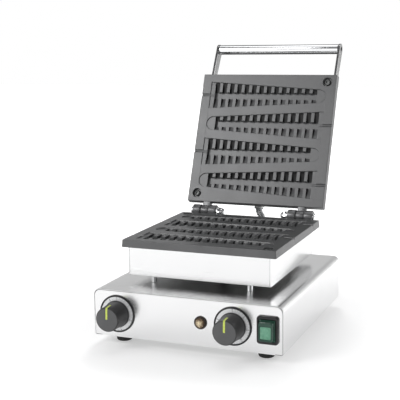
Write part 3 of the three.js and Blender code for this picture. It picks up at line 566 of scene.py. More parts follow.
def floor_material():
    """White sweep that glows more further out, so that it runs into the white background; its weaker glow
    close to the machine is painted shade round its foot.
    """
    surface = Surface("studio_floor", Specular_IOR_Level=0.2)
    surface.shader.inputs["Emission Color"].default_value = (1, 1, 1, 1)
    distance = surface.tree.nodes.new("ShaderNodeVectorMath")
    distance.operation = "LENGTH"
    surface.link(surface.coordinates, distance.inputs[0])
    # Painted shade: less glow within about 0.4 m of the machine's middle.
    near = surface.remap(distance.outputs["Value"], 0.4, 0.64, 0.17, 0.4)
    far = surface.remap(distance.outputs["Value"], 0.0, 0.6, 0.9, 2.5)
    glow = surface.add(near, far)
    surface.link(glow, surface.shader.inputs["Emission Strength"])
    soft = surface.noise(scale=3.0, detail=2.0)
    surface.colours(soft, (0.7, 0.7, 0.7), (0.73, 0.73, 0.73))
    surface.rough(surface.remap(soft, 0.55, 0.6))
    return surface.material


# Dark cloth of the reflection cards: painted shade, standing for floor in shadow.
def painted_shade_cloth():
    surface = Surface("painted_shade_cloth", Specular_IOR_Level=0.1)
    weave = surface.noise(scale=900.0, detail=2.0)
    surface.colours(weave, (0.05, 0.05, 0.05), (0.08, 0.08, 0.08))
    surface.rough(surface.remap(weave, 0.8, 0.95))
    return surface.material


STEEL_ACROSS = brushed_steel("brushed_steel_level", (5, 5, 2600))
STEEL_WRAPPED = brushed_steel("brushed_steel_wrapped", (5, 2600, 5))
NONSTICK = nonstick_coating()
# A darker copy of the coating, as painted shade in the mould grooves.
GROOVE_SHADE = nonstick_coating("painted_groove_shade_coating", 0.2, 0.35)
CAST = cast_metal()
CHROME = chrome()
# A darkened copy of the brushed steel for the handle bars: its low tone is painted shade.
SHADED_ARM_STEEL = brushed_steel("brushed_steel_bar_painted_shade", (5, 5, 2600), 0.3, 0.2, 0.28)
CONDUIT = conduit_metal()
ZINC = zinc_plate()
DULLED = zinc_plate("heat_dulled_zinc", 0.5, 0.45, 0.6)
SHEATH = heater_sheath()
BLACK = moulded_plastic("black_plastic", (0.010, 0.010, 0.010), (0.018, 0.018, 0.019))
KNOB = moulded_plastic("knob_plastic", (0.034, 0.034, 0.035), (0.044, 0.044, 0.045), 0.34, 0.46)
# Grey face cap of the knobs: partly its own grey, partly painted light on the face turned to the front
# lights.
KNOB_FACE = moulded_plastic("knob_face", (0.085, 0.086, 0.088), (0.1, 0.101, 0.103), 0.42, 0.55)
LAMP_RING = moulded_plastic("lamp_ring", (0.03, 0.02, 0.014), (0.05, 0.035, 0.025), 0.2, 0.32)
RIM = moulded_plastic("dial_rim", (0.012, 0.012, 0.013), (0.02, 0.02, 0.021), 0.25, 0.35)
RESIN = moulded_plastic("terminal_resin", (0.6, 0.56, 0.44), (0.7, 0.66, 0.54))
POINTER = pointer_paint()
SPUN = spun_aluminium()
AMBER = lamp_plastic()
COVER = clear_cover()
COVER_FRAME = moulded_plastic("cover_frame", (0.012, 0.05, 0.033), (0.022, 0.075, 0.05), 0.14, 0.24)
GREEN = rocker_plastic()
RUBBER = foot_rubber()

CAD_MATERIALS = {
    "brushed_steel": STEEL_ACROSS,
    "galvanised_steel": ZINC,
    "heater_steel": SHEATH,
    "chrome": CHROME,
    "nonstick_aluminium": NONSTICK,
    "black_plastic": BLACK,
    "knob_plastic": KNOB,
    "dial_aluminium": SPUN,
    "amber_lens": AMBER,
    "green_rocker": GREEN,
    "clear_green_cover": COVER,
    "foot_rubber": RUBBER,
    "terminal_resin": RESIN,
}


BEVELLED = ("front_panel", "rear_panel", "base_floor", "lower_casing_floor", "terminal_block", "mains_gland")


def dress_cad_nodes():
    """Give every CAD node the material of its slot, and break the sharp edges of those left in view."""
    for part in frame["record"]["subparts"]:
        node = frame["nodes"][part["node"]]
        node.data.materials.clear()
        node.data.materials.append(CAD_MATERIALS[part["material_slot"]])
        if part["node"] in BEVELLED:
            bevel = node.modifiers.new("broken_edges", "BEVEL")
            bevel.width = 0.25 * MM
            bevel.segments = 2
            bevel.limit_method = "ANGLE"
            bevel.angle_limit = math.radians(40)


# ---------------------------------------------------------------- base


def base_wrapper():
    """One sheet bent over the top and both sides, with flanges turned in at the bottom."""
    half = BASE_HIGH.x - SHEET / 2
    top, bottom = BASE_HIGH.z - SHEET / 2, BASE_LOW.z + SHEET / 2
    corners = [(half - 12, bottom), (half, bottom), (half, top)]
    corners += [(-x, z) for x, z in reversed(corners)]
    path = fillet(corners, [0, 1.6, 10.4, 10.4, 1.6, 0], steps=10)
    loops = []
    ends = [(FRONT, 0.25), (FRONT + 0.25, 0), (-FRONT - 0.25, 0), (-FRONT, 0.25)]
    for y, inset in ends:
        loops.append([(x, y, z) for x, z in ribbon_section(path, SHEET - 2 * inset)])
    return piece("base_wrapper", loft(loops), STEEL_WRAPPED, "base",
                 stands_for=["base_shell"])


def foot(name):
    low, high = box(name)
    centre = (low + high) / 2
    radius = (high.x - low.x) / 2
    top = BASE_LOW.z - GAP
    profile = [(0, 0), (radius - 3.5, 0), (radius - 1.3, 1.2), (radius - 0.3, 5.5), (radius, top), (2.3, top)]
    profile += [(2.3, high.z), (0, high.z)]
    turned = lathe(fillet(profile, [0, 0.8, 1.5, 2, 0.6, 0, 0, 0]), 72)
    place = Matrix.Translation((centre.x, centre.y, 0))
    piece(name.replace("foot", "rubber_foot"), turned, RUBBER, "base", place, [name])


def leg(name):
    low, high = box(name)
    centre = (low + high) / 2
    radius = (high.x - low.x) / 2
    profile = [(2.9, low.z), (radius, low.z), (radius, high.z), (2.9, high.z)]
    turned = lathe(fillet(profile, 0.4, closed=True), 64, closed=True)
    place = Matrix.Translation((centre.x, centre.y, 0))
    piece(name.replace("leg", "spacer_leg"), turned, CHROME, "base", place, [name])


def build_base():
    base_wrapper()
    for corner in ("front_left", "front_right", "rear_left", "rear_right"):
        foot(f"foot_{corner}")
        leg(f"leg_{corner}")


# ---------------------------------------------------------------- casings


def casing_loop(side, inset, z, seam=0.0):
    """Plan outline of a heater casing of that half-width; a seam is a slit near each end of a long side."""
    half = side - inset
    front, back = CASING_LOW.y + inset, CASING_HIGH.y - inset
    slit = 1.0
    seam_x = side - SHEET - 0.6
    points = []
    for x, y in rounded_rectangle((-half, front), (half, back), max(1.2 - inset, 0.15), 4):
        points.append((x, y, z))
    if inset > 0.6:
        seam = 0.0
    detailed = []
    for i, point in enumerate(points):
        following = points[(i + 1) % len(points)]
        detailed.append(point)
        if abs(point[1] - following[1]) < 1e-6 and abs(point[0] - following[0]) > 50:
            way = math.copysign(1, following[0] - point[0])
            inward = -math.copysign(seam, point[1])
            for edge in (-seam_x, seam_x) if way > 0 else (seam_x, -seam_x):
                for offset, depth in ((-slit / 2, 0), (-slit / 2, 1), (slit / 2, 1), (slit / 2, 0)):
                    detailed.append((edge + way * offset, point[1] + depth * inward, z))
    return detailed


def lower_casing():
    """Open-topped box: sides, and a flange turned in at the bottom."""
    bottom, top = CASING_LOW.z, CASING_HIGH.z
    side = CASING_HIGH.x
    flange = 13
    loops = [
        casing_loop(side, flange, bottom),
        casing_loop(side, 0.3, bottom),
        casing_loop(side, 0.0, bottom + 0.3, 0.9),
        casing_loop(side, 0.0, top - 0.2, 0.9),
        casing_loop(side, 0.2, top, 0.4),
        casing_loop(side, SHEET, top),
        casing_loop(side, SHEET, bottom + SHEET),
        casing_loop(side, flange, bottom + SHEET),
    ]
    return piece("lower_heater_box", loft(loops, closed=True), STEEL_ACROSS, "base",
                 stands_for=["lower_casing"])


def upper_casing():
    """The lid's box, closed over the heater."""
    bottom, top = LID_CASING_LOW.z, LID_CASING_HIGH.z
    side = LID_CASING_HIGH.x
    loops = [
        casing_loop(side, SHEET, top - SHEET),
        casing_loop(side, SHEET, bottom),
        casing_loop(side, 0.2, bottom, 0.4),
        casing_loop(side, 0.0, bottom + 0.2, 0.9),
        casing_loop(side, 0.0, top - 1.2, 0.9),
        casing_loop(side, 0.35, top - 0.35),
        casing_loop(side, 1.2, top),
    ]
    return piece("upper_heater_box", loft(loops), STEEL_ACROSS, "lid", OPEN_LID,
                 ["upper_casing"])


# ---------------------------------------------------------------- cooking plates


def lane_half(u):
    """Half-width of a mould's straight taper at a place along it."""
    tip = LANE["half_length"] - LANE["narrow"]
    along = np.clip((u + LANE["half_length"]) / (tip + LANE["half_length"]), 0, 1)
    return LANE["wide"] + (LANE["narrow"] - LANE["wide"]) * along


def ramp(distance, width):
    """0 outside an edge and 1 inside it, with a smooth step across its draft."""
    t = np.clip(distance / width + 0.5, 0, 1)
    return t * t * (3 - 2 * t)


def lane_depth(u, w):
    """How deep one mould is at (u, w) from its middle, its wide end at negative u."""
    tip = LANE["half_length"] - LANE["narrow"]
    across_w = np.abs(w)
    half = lane_half(u)
    straight = np.minimum(half - across_w, u + LANE["half_length"])
    round_end = LANE["narrow"] - np.hypot(u - tip, w)
    inside = np.where(u > tip, round_end, straight)
    depth = LANE["pan"] * ramp(inside, 0.5)
    first = LANE["first_groove"]
    last = first + (LANE["grooves"] - 1) * LANE["groove_pitch"]
    nearest = np.clip(np.round((u - first) / LANE["groove_pitch"]), 0, LANE["grooves"] - 1)
    off_groove = np.abs(u - first - nearest * LANE["groove_pitch"])
    in_groove = ramp(LANE["groove_half"] - off_groove, LANE["draft"])
    in_groove = in_groove * ramp(half - 0.4 - across_w, LANE["draft"])
    bow = 1 - np.clip(across_w / half, 0, 1) ** 2
    floor = LANE["edge_depth"] + (LANE["channel_depth"] - LANE["edge_depth"]) * bow
    groove = in_groove * (floor - LANE["pan"])
    ends = np.minimum(u - first, last - u) + LANE["groove_half"]
    in_channel = ramp(np.minimum(ends, LANE["channel"] - across_w), LANE["draft"])
    channel = in_channel * (LANE["channel_depth"] - LANE["pan"])
    depth = depth + np.maximum(groove, channel)
    stick = np.where(u < first, np.sqrt(np.clip(LANE["stick"] ** 2 - w**2, 0, None)), 0)
    return np.maximum(depth, stick)


def plate_columns():
    """Places along X for the plate's mesh: close together at every wall of the moulds."""
    tip = LANE["half_length"] - LANE["narrow"]
    places = [-LANE["half_length"] + d for d in (-0.5, -0.2, 0.1, 0.5)]
    for i in range(LANE["grooves"]):
        centre = LANE["first_groove"] + i * LANE["groove_pitch"]
        for offset in (3.3, 3.6, 3.9, 4.25):
            places += [centre - offset, centre + offset]
        places += [centre, centre + LANE["groove_pitch"] / 2]
    places += [tip + LANE["narrow"] * math.sin(math.radians(a)) for a in range(0, 71, 10)]
    places += [LANE["half_length"] + d for d in (-0.35, 0.0, 0.35)]
    places += [PLATE["half"] - d for d in (PLATE["corner"], 0.8, 0.5, 0.2, 0.05, 0.0)]
    both = sorted({round(s * p, 3) for p in places for s in (-1, 1)})
    kept = [both[0]]
    for place in both[1:]:
        if place - kept[-1] > 0.14:
            kept.append(place)
    kept[-1] = PLATE["half"]
    return np.array(kept)


def lane_edge(u, outside):
    """Half-width at which a mesh row follows the mould's outline, that far outside it."""
    tip = LANE["half_length"] - LANE["narrow"]
    least = 3.3 + 0.5 * outside
    round_end = np.sqrt(np.clip((LANE["narrow"] + outside) ** 2 - (u - tip) ** 2, least**2, None))
    return np.where(u > tip, round_end, lane_half(u) + outside)


def plate_rows(x):
    """For each column, the Y of every row, as an array with one line for each row."""
    middle = (PLATE["front"] + PLATE["back"]) / 2
    edge = [0.0, 0.05, 0.2, 0.5, 0.8, PLATE["corner"]]
    rows = [np.full_like(x, PLATE["front"] + d) for d in edge]
    channel = [0.0, 1.5, 2.3, 2.75, 3.4, 4.95, 5.25, 5.6, 5.95]
    for lane in range(4):
        u = x if lane % 2 == 0 else -x
        edges = [lane_edge(u, outside) for outside in (-0.65, -0.25, 0.1, 0.5)]
        half = lane_half(u)
        inner = [np.full_like(x, c) for c in channel]
        inner += [channel[-1] + (half - 1.0 - channel[-1]) * share for share in (0.25, 0.5, 0.75, 1.0)]
        offsets = [row * edges[0] / (half - 0.65) for row in inner] + edges
        centre = middle + (lane - 1.5) * LANE["pitch"]
        rows += [centre - offset for offset in reversed(offsets[1:])]
        rows += [centre + offset for offset in offsets]
    rows += [np.full_like(x, PLATE["back"] - d) for d in reversed(edge)]
    return np.array(rows)


def plate_grid():
    """X, Y and depth below the face for the whole moulded face, corners and edges rounded."""
    columns = plate_columns()
    y = plate_rows(columns)
    x = np.broadcast_to(columns, y.shape).copy()
    middle = (PLATE["front"] + PLATE["back"]) / 2
    depth = np.zeros_like(y)
    for lane in range(4):
        w = y - middle - (lane - 1.5) * LANE["pitch"]
        depth = np.maximum(depth, lane_depth(x if lane % 2 == 0 else -x, w))
    half_y = (PLATE["back"] - PLATE["front"]) / 2
    to_edge = np.minimum(PLATE["half"] - np.abs(x), half_y - np.abs(y - middle))
    round_over = 0.8
    near = 1 - np.clip(to_edge / round_over, 0, 1)
    depth = depth + round_over * (1 - np.sqrt(1 - near**2))
    corner = PLATE["corner"]
    over_x = np.abs(x) - (PLATE["half"] - corner)
    over_y = np.abs(y - middle) - (half_y - corner)
    in_corner = (over_x > 0) & (over_y > 0)
    pull = np.where(in_corner, np.maximum(over_x, over_y) / np.maximum(np.hypot(over_x, over_y), 1e-9), 1)
    x = np.where(in_corner, np.sign(x) * (PLATE["half"] - corner + over_x * pull), x)
    y = np.where(in_corner, middle + np.sign(y - middle) * (half_y - corner + over_y * pull), y)
    return x, y, depth


def plate_body(face, up):
    """The plate as one closed mesh; up is 1 with its moulds on top and -1 with them underneath."""
    x, y, depth = plate_grid()
    rows, columns = x.shape
    z = face - up * depth
    vertices = np.stack([x, y, z], axis=-1).reshape(-1, 3).tolist()
    faces = []
    for r in range(rows - 1):
        for c in range(columns - 1):
            a = r * columns + c
            faces.append((a, a + 1, a + columns + 1, a + columns))
    rim = list(range(columns - 1))
    rim += [r * columns + columns - 1 for r in range(rows - 1)]
    rim += [(rows - 1) * columns + c for c in range(columns - 1, 0, -1)]
    rim += [r * columns for r in range(rows - 1, 0, -1)]
    back = face - up * PLATE["thickness"]
    start = len(vertices)
    for lift, inset in ((0.5, -PLATE["draft"]), (0.0, 0.5 - PLATE["draft"])):
        outline = shrink([vertices[i][:2] for i in rim], inset)
        vertices += [(px, py, back + up * lift) for px, py in outline]
    count = len(rim)
    for i in range(count):
        j = (i + 1) % count
        faces.append((rim[i], start + i, start + j, rim[j]))
        faces.append((start + i, start + count + i, start + count + j, start + j))
    faces.append(tuple(range(start + count, start + 2 * count)))
    return vertices, faces


def recess_cutter(x, y, face, up):
    """Counterbore with a broken edge, and the screw's hole below it."""
    radius, depth, hole = RECESS["radius"], RECESS["depth"], RECESS["hole"]
    profile = [(hole, -PLATE["thickness"] - 2), (hole, -depth - 0.3), (hole + 0.3, -depth)]
    profile.append((radius - 0.4, -depth))
    profile += [(radius, -depth + 0.4), (radius, -0.5), (radius + 0.8, 0.4), (radius + 0.8, 2)]
    profile = [(0, profile[0][1]), *profile, (0, profile[-1][1])]
    turned = lathe(profile, 48)
    flip = Matrix.Identity(4) if up > 0 else Matrix.Rotation(math.pi, 4, "X")
    return moved(turned, Matrix.Translation((x, y, face)) @ flip)


def cut_away(obj, cutters):
    """Apply exact boolean cuts to a piece."""
    for i, cutter in enumerate(cutters):
        mesh = plain_mesh(f"cutter_{i}", cutter)
        face_outwards(mesh)
        tool = in_scene(f"cutter_{i}", mesh)
        tool.matrix_world = obj.matrix_world
        modifier = obj.modifiers.new("cut", "BOOLEAN")
        modifier.operation = "DIFFERENCE"
        modifier.solver = "EXACT"
        modifier.object = tool
        bpy.context.view_layer.update()
        evaluated = obj.evaluated_get(bpy.context.evaluated_depsgraph_get())
        result = bpy.data.meshes.new_from_object(evaluated)
        obj.modifiers.clear()
        obj.data = result
        bpy.data.objects.remove(tool)
    smooth(obj.data, 40)


def paint_groove_shade(plate, face, up):
    """Paint shade into the cross grooves with a darker copy of the coating: their walls, and the floors that
    face the hinge.
    """
    plate.data.materials.append(GROOVE_SHADE)
    middle = (PLATE["front"] + PLATE["back"]) / 2
    for polygon in plate.data.polygons:
        centre = polygon.center / MM
        below = up * (face - centre.z)
        lane = min(max(round((centre.y - middle) / LANE["pitch"] + 1.5), 0), 3)
        from_middle = abs(centre.y - middle - (lane - 1.5) * LANE["pitch"])
        in_plan = abs(centre.x) < LANE["half_length"] and LANE["channel"] < from_middle < LANE["wide"]
        deep = LANE["pan"] + 0.6 < below < LANE["channel_depth"]
        # Painted shade: deep groove faces outside the channel that do not face the front take the darker
        # coating.
        if in_plan and deep and polygon.normal.y > -0.05:
            polygon.material_index = 1


def cooking_plate(name, node, body, face, up, place):
    plate = piece(name, plate_body(face, up), NONSTICK, body, place, [node], 40)
    paint_groove_shade(plate, face, up)
    cut_away(plate, [recess_cutter(x, y, face, up) for x, y in RECESSES])


# ---------------------------------------------------------------- hinges

HINGE_X = 86.75
EAR_WIDTH = 14.3
LUG_WIDTH = 13.6
EAR_CLEARANCE = 0.5


def knuckle(radius, low, high, count=28):
    """Side view of an ear: a barrel round the bolt, running back into the plate's edge."""
    reach = math.sqrt(radius**2 - (high - HINGE.z) ** 2)
    end = math.atan2(high - HINGE.z, -reach) % (2 * math.pi)
    outline = [(PLATE["back"] - 1.5, low), (HINGE.y, HINGE.z - radius)]
    for i in range(1, count + 1):
        angle = -math.pi / 2 + (end + math.pi / 2) * i / count
        outline.append((HINGE.y + radius * math.cos(angle), HINGE.z + radius * math.sin(angle)))
    outline.append((PLATE["back"] - 1.5, high))
    return outline


def lower_ears():
    outline = knuckle(10.5, PLATE_BOTTOM, PLATE_TOP - 0.4)
    ears = []
    for side in (-1, 1):
        for offset in (-1, 1):
            near = side * HINGE_X + offset * (LUG_WIDTH / 2 + EAR_CLEARANCE)
            far = near + offset * EAR_WIDTH
            ears.append(across(slab(outline, min(near, far), max(near, far), 1.0, 3)))
    piece("lower_hinge_ears", join(*ears), CAST, "base",
          stands_for=["lower_plate"])


def upper_lugs():
    """Lugs of the lid, each with the heel that stops it when open."""
    radius = 9.5
    outline = [(PLATE["back"] - 1.5, LID_FACE + 1)]
    for i in range(29):
        angle = math.pi + 1.5 * math.pi * i / 28
        outline.append((HINGE.y + radius * math.cos(angle), HINGE.z + radius * math.sin(angle)))
    outline.append((PLATE["back"] - 1.5, LID_FACE + PLATE["thickness"]))
    lugs = []
    shut = OPEN_LID.inverted()
    for side in (-1, 1):
        middle = side * HINGE_X
        lugs.append(across(slab(outline, middle - LUG_WIDTH / 2, middle + LUG_WIDTH / 2, 0.9, 3)))
        heel = rounded_rectangle((PLATE["back"] + GAP, HINGE.z - 7.5), (HINGE.y - 4.6, HINGE.z - 2.5), 0.8, 3)
        block = across(slab(heel, middle - LUG_WIDTH / 2 + 1, middle + LUG_WIDTH / 2 - 1, 0.6))
        lugs.append(moved(block, shut))
    piece("upper_hinge_lugs", join(*lugs), CAST, "lid", OPEN_LID, ["upper_plate"])


def along_hinge(side):
    """Placement of a turned piece whose own Z runs outwards along the hinge line."""
    return Matrix.Translation((0, HINGE.y, HINGE.z)) @ Matrix.Rotation(side * math.pi / 2, 4, "Y")


def hinge_fasteners(name, side):
    """Pivot bolt with its head outside the ears, and the cap nut inside them."""
    outer = HINGE_X + LUG_WIDTH / 2 + EAR_CLEARANCE + EAR_WIDTH + GAP
    inner = HINGE_X - LUG_WIDTH / 2 - EAR_CLEARANCE - EAR_WIDTH - GAP
    tip = inner - 13.5
    bolt = [(0, tip + 3.3), (3.9, tip + 3.3), (3.9, outer), (6.4, outer), (6.4, outer + 2)]
    bolt += [(5.4, outer + 3.6), (3, outer + 4.6), (0, outer + 4.9)]
    turned = lathe(fillet(bolt, [0, 0, 0, 0.5, 1, 1, 1, 0]), 48)
    piece(f"pivot_bolt_{name}", turned, CHROME, "base", along_hinge(side),
          [f"hinge_bolt_{name}"])
    loops = rings((0.3, tip), (2.2, tip + 0.25), (3.9, tip + 1.0))
    loops += rings((5.2, tip + 2.4), (5.9, tip + 4.2), (6.1, tip + 5.6))
    loops += [hexagon(6.2, tip + 6.1), hexagon(6.3, tip + 6.6), hexagon(6.3, inner - 2.0)]
    loops += rings((6.6, inner - 1.7), (7.2, inner - 1.4), (7.2, inner))
    loops += rings((4.3, inner), (4.3, tip + 3.1))
    piece(f"cap_nut_{name}", loft(loops), CHROME, "base", along_hinge(side),
          [f"hinge_nut_{name}"])


# ---------------------------------------------------------------- controls

DIAL_RADIUS = 28.8
SCALE_RADIUS = 26.2
NUMERAL = {"size": 2.4, "raised": 0.08, "reach": 21.2, "lift": 1.66}
MARKS_PER_NUMBER = 5
ROCKER_TILT = 8
WINDOW_DROP = 1.4


def knob_profile():
    """Half-section of a knob from its back to the middle of its face, as (radius, height)."""
    profile = [(3.4, 2.1), (20.6, 2.1), (20.6, 3.7), (19.6, 5.1), (18.4, 34.5), (0, 35.7)]
    return fillet(profile, [0, 0.3, 0.6, 1.0, 1.6, 0], steps=5)


def knob(name):
    """Turned knob and the painted pointer that runs over its edge."""
    place = facing_front(middle_x(f"{name}_knob"), CONTROL_Z)
    profile = knob_profile()
    bored = [(0, 22), (3.4, 22), *profile]
    piece(f"{name}_grip", lathe(bored, 96), KNOB, f"{name}_knob_body", place,
          [f"{name}_knob"], angle=40)
    # The cap is lighter than the grip: partly a grey cap, partly painted light on the face.
    face = [(r, h + 0.15) for r, h in profile if r < 17.2]
    cap = [(0, 34.1), (face[0][0], 34.1), *face]
    piece(f"{name}_cap", lathe(cap, 96), KNOB_FACE, f"{name}_knob_body", place, angle=40)
    half, sunk, edge, top = 1.5, -0.3, 0.1, 0.2
    lip = [point for point in profile if point[1] > 33 and point[0] > 17.2]
    line = [(18.9, 22.0), *lip, (12.0, 35.2), (1.0, 35.8)]
    path = [Vector((0, radius, height)) for radius, height in line]
    loops = []
    for i, here in enumerate(path):
        ahead = path[min(i + 1, len(path) - 1)] - path[max(i - 1, 0)]
        normal = Vector((0, ahead.z, -ahead.y)).normalized()
        section = [(-half, sunk), (-half, edge), (-half + 0.15, top)]
        section += [(half - 0.15, top), (half, edge), (half, sunk)]
        loops.append([tuple(here + Vector((x, 0, 0)) + normal * out) for x, out in section])
    piece(f"{name}_pointer", loft(loops), POINTER, f"{name}_knob_body", place)


def dial(name, ticks, sweep, step):
    """Scale ring with a black rim; its printed marks are step units apart, with every fifth numbered."""
    place = facing_front(middle_x(f"{name}_dial"), CONTROL_Z)
    face = [(6, 0.3), (SCALE_RADIUS + 0.3, 0.3), (SCALE_RADIUS + 0.3, 1.6), (6, 1.6)]
    piece(f"{name}_scale", lathe(face, 96, closed=True), SPUN, "base", place,
          [f"{name}_dial"])
    rim = [(SCALE_RADIUS, 0.3), (DIAL_RADIUS, 0.3), (DIAL_RADIUS, 1.6), (DIAL_RADIUS - 0.9, 2.4)]
    rim += [(SCALE_RADIUS + 0.5, 2.4), (SCALE_RADIUS, 1.9)]
    piece(f"{name}_rim", lathe(fillet(rim, 0.3, closed=True), 96, closed=True), RIM, "base", place)
    marks = []
    for i in range(ticks):
        angle = math.radians(-sweep * i / (ticks - 1))
        length, width = (1.7, 0.9) if i % MARKS_PER_NUMBER == 0 else (0.9, 0.6)
        mark = slab(centred_rectangle(width, length, 0.1, 2), 1.5, 1.68, 0.05)
        outwards = Matrix.Translation((0, SCALE_RADIUS - 0.5 - length / 2, 0))
        marks.append(moved(mark, Matrix.Rotation(angle, 4, "Z") @ outwards))
    piece(f"{name}_marks", join(*marks), RIM, "base", place)
    for i in range(0, ticks, MARKS_PER_NUMBER):
        angle = math.radians(-sweep * i / (ticks - 1))
        numeral(f"{name}_number_{i}", str(i * step), place @ Matrix.Rotation(angle, 4, "Z"))


def numeral(name, text, place):
    """A number printed near the top of the scale, standing a hair above it."""
    curve = bpy.data.curves.new(name, "FONT")
    curve.body = text
    curve.size = NUMERAL["size"] * MM
    curve.extrude = NUMERAL["raised"] * MM
    curve.align_x = "CENTER"
    source = bpy.data.objects.new(name, curve)
    mesh = bpy.data.meshes.new_from_object(source)
    bpy.data.objects.remove(source)
    mesh.materials.clear()
    mesh.materials.append(RIM)
    obj = in_scene(name, mesh)
    obj.matrix_world = in_metres(place @ Matrix.Translation((0, NUMERAL["reach"], NUMERAL["lift"])))
    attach(obj, "base")


def lamp():
    """Bezel ring and the fluted dome of the pilot lamp."""
    place = facing_front(middle_x("lamp_bezel"), CONTROL_Z)
    bezel = [(6.9, -20), (6.9, 0.3), (9.8, 0.3), (9.8, 1.6), (8.6, 3.2)]
    bezel += [(7.3, 3.2), (7.3, 1.4), (5.2, 1.4), (5.2, -20)]
    piece("lamp_ring", lathe(fillet(bezel, 0.5, closed=True), 72, closed=True), LAMP_RING, "base", place,
          ["lamp_bezel"])
    loops = rings((6.9, 1.7), (6.9, 3.3))
    for radius, height, wave in ((6.3, 4.6, 0.25), (5.2, 5.7, 0.35), (3.6, 6.6, 0.3), (1.6, 7.1, 0.1)):
        fluted = []
        for x, y, z in circle(radius, height, 48):
            swell = 1 + wave * 0.12 * math.cos(12 * math.atan2(y, x))
            fluted.append((x * swell, y * swell, z))
        loops.append(fluted)
    piece("lamp_dome", loft(loops), AMBER, "base", place, ["lamp_lens"], angle=20)


def switch():
    """Bezel, green rocker and the clear cover that stands out from the bezel."""
    centre_x = middle_x("switch_housing")
    place = facing_front(centre_x, CONTROL_Z)
    loops = []
    for width, height, radius, z in (
        (32, 41, 4.5, 0.3), (32, 41, 4.5, 3.4), (31.4, 40.4, 4.3, 4.2), (30.2, 39.2, 3.8, 4.8),
        (26.4, 33.8, 2.2, 4.8), (25.4, 32.8, 1.7, 4.4), (24.9, 32.3, 1.4, 3.6), (24.6, 32, 1.2, -6.5),
    ):
        loops.append(at_height(centred_rectangle(width, height, radius), z))
    piece("switch_bezel", loft(loops, caps=(False, True)), BLACK, "base", place,
          ["switch_housing"])
    ring = (
        (24, 31.4, 1.2, 2.0), (24, 31.4, 1.4, 4.8), (22.8, 29.8, 2.6, 5.6), (21.8, 28.6, 3.0, 8.5),
        (21.0, 27.6, 3.2, 12.0), (20.4, 27.0, 3.2, 13.0), (19.2, 25.8, 2.8, 13.5), (16.8, 19.2, 2.2, 13.5),
        (16.0, 18.4, 1.9, 12.9), (16.0, 18.4, 1.9, 11.4), (19.4, 26.0, 1.9, 10.8), (21.6, 29.0, 1.2, 2.0),
    )
    loops = []
    for width, height, radius, z in ring:
        drop = WINDOW_DROP if height < 20 else 0
        loops.append([(x, y - drop, z) for x, y in centred_rectangle(width, height, radius)])
    piece("switch_cover_frame", loft(loops, closed=True), COVER_FRAME, "base", place,
          ["switch_boot"])
    window = slab([(x, y - WINDOW_DROP) for x, y in centred_rectangle(15.9, 18.3, 1.9)], 12.1, 12.8, 0.3)
    piece("switch_cover_window", window, COVER, "base", place, ["switch_boot"])
    rocker(centre_x)


def rocker(centre_x):
    """Rocker seen from the side, with a dished face; it rests with its top pressed in."""
    outline = [(4, -8), (4, 8), (-2, 11.2), (-7, 11.2), (-6.0, 6)]
    outline += [(-5.6, 0), (-6.0, -6), (-7, -11.2), (-2, -11.2)]
    outline = fillet(outline, [0.5, 0.5, 0.8, 0.8, 3, 3, 3, 0.8, 0.8], closed=True)
    tilt = Matrix.Rotation(-math.radians(ROCKER_TILT), 4, "X")
    pivot = Matrix.Translation((centre_x, FRONT - 2, CONTROL_Z))
    body = across(slab(outline, -8.2, 8.2, 0.5, 2))
    piece("rocker_button", body, GREEN, "rocker", pivot @ tilt, ["switch_rocker"])


def build_controls():
    knob("timer")
    knob("thermostat")
    dial("timer", 31, 330, 1)
    dial("thermostat", 31, 290, 10)
    lamp()
    switch()


# ---------------------------------------------------------------- handle


BAR = {"half": 8.0, "bend_y": -100.0, "low_z": 177.0, "end_radius": 9.6, "bend_radius": 12}
BAR_SCREWS_Y = (-48.0, -84.0)


def handle_tube():
    radius = (TUBE_HIGH.y - TUBE_LOW.y) / 2
    end = TUBE_HIGH.x
    shoulder = ARM_LOW.x - 2 * GAP
    profile = [(0, -end), (4, -end), (4, -shoulder), (radius - 0.6, -shoulder), (radius, -shoulder + 0.6)]
    profile += [(r, -z) for r, z in reversed(profile)]
    centre = (TUBE_LOW + TUBE_HIGH) / 2
    place = Matrix.Translation((0, centre.y, centre.z)) @ Matrix.Rotation(math.pi / 2, 4, "Y")
    piece("grip_tube", lathe(profile, 72), CHROME, "lid", OPEN_LID @ place, ["handle_tube"])


def handle_arm(name, side):
    """Flat bar with a bend and a round end, its edges broken."""
    half, bend_y, low_z, end_radius, bend_radius = BAR.values()
    centre = (TUBE_LOW + TUBE_HIGH) / 2
    rise = math.atan2(centre.z - low_z, bend_y - centre.y)
    start = math.pi / 2 - rise
    outline = [(ARM_HIGH.y, low_z - half), (ARM_HIGH.y, low_z + half), (bend_y, low_z + half)]
    for i in range(19):
        angle = start + math.pi * i / 18
        outline.append((centre.y + end_radius * math.cos(angle), centre.z + end_radius * math.sin(angle)))
    outline.append((bend_y, low_z - half))
    outline = fillet(outline, [1.5, 1.5, bend_radius] + [0] * 19 + [bend_radius], closed=True)
    ends = sorted((side * ARM_LOW.x, side * ARM_HIGH.x))
    bar = across(slab(outline, ends[0], ends[1], 0.4, 2))
    # The bars take the darkened steel copy: painted shade.
    piece(f"handle_bar_{name}", bar, SHADED_ARM_STEEL, "lid", OPEN_LID, [f"handle_arm_{name}"])


def socket_screw(head_radius, head_height, socket, shank, length):
    """Button-head screw with a hexagon socket, its seat at Z = 0 and its head above it."""
    loops = rings((0.2, -length), (shank, -length + 0.3), (shank, 0))
    loops += rings((head_radius, 0), (head_radius, head_height * 0.45))
    loops += rings((head_radius * 0.9, head_height * 0.72), (head_radius * 0.72, head_height * 0.92))
    loops += rings((socket + 0.7, head_height))
    loops += [hexagon(socket, head_height - 0.1), hexagon(socket, head_height * 0.4)]
    return loft(loops)


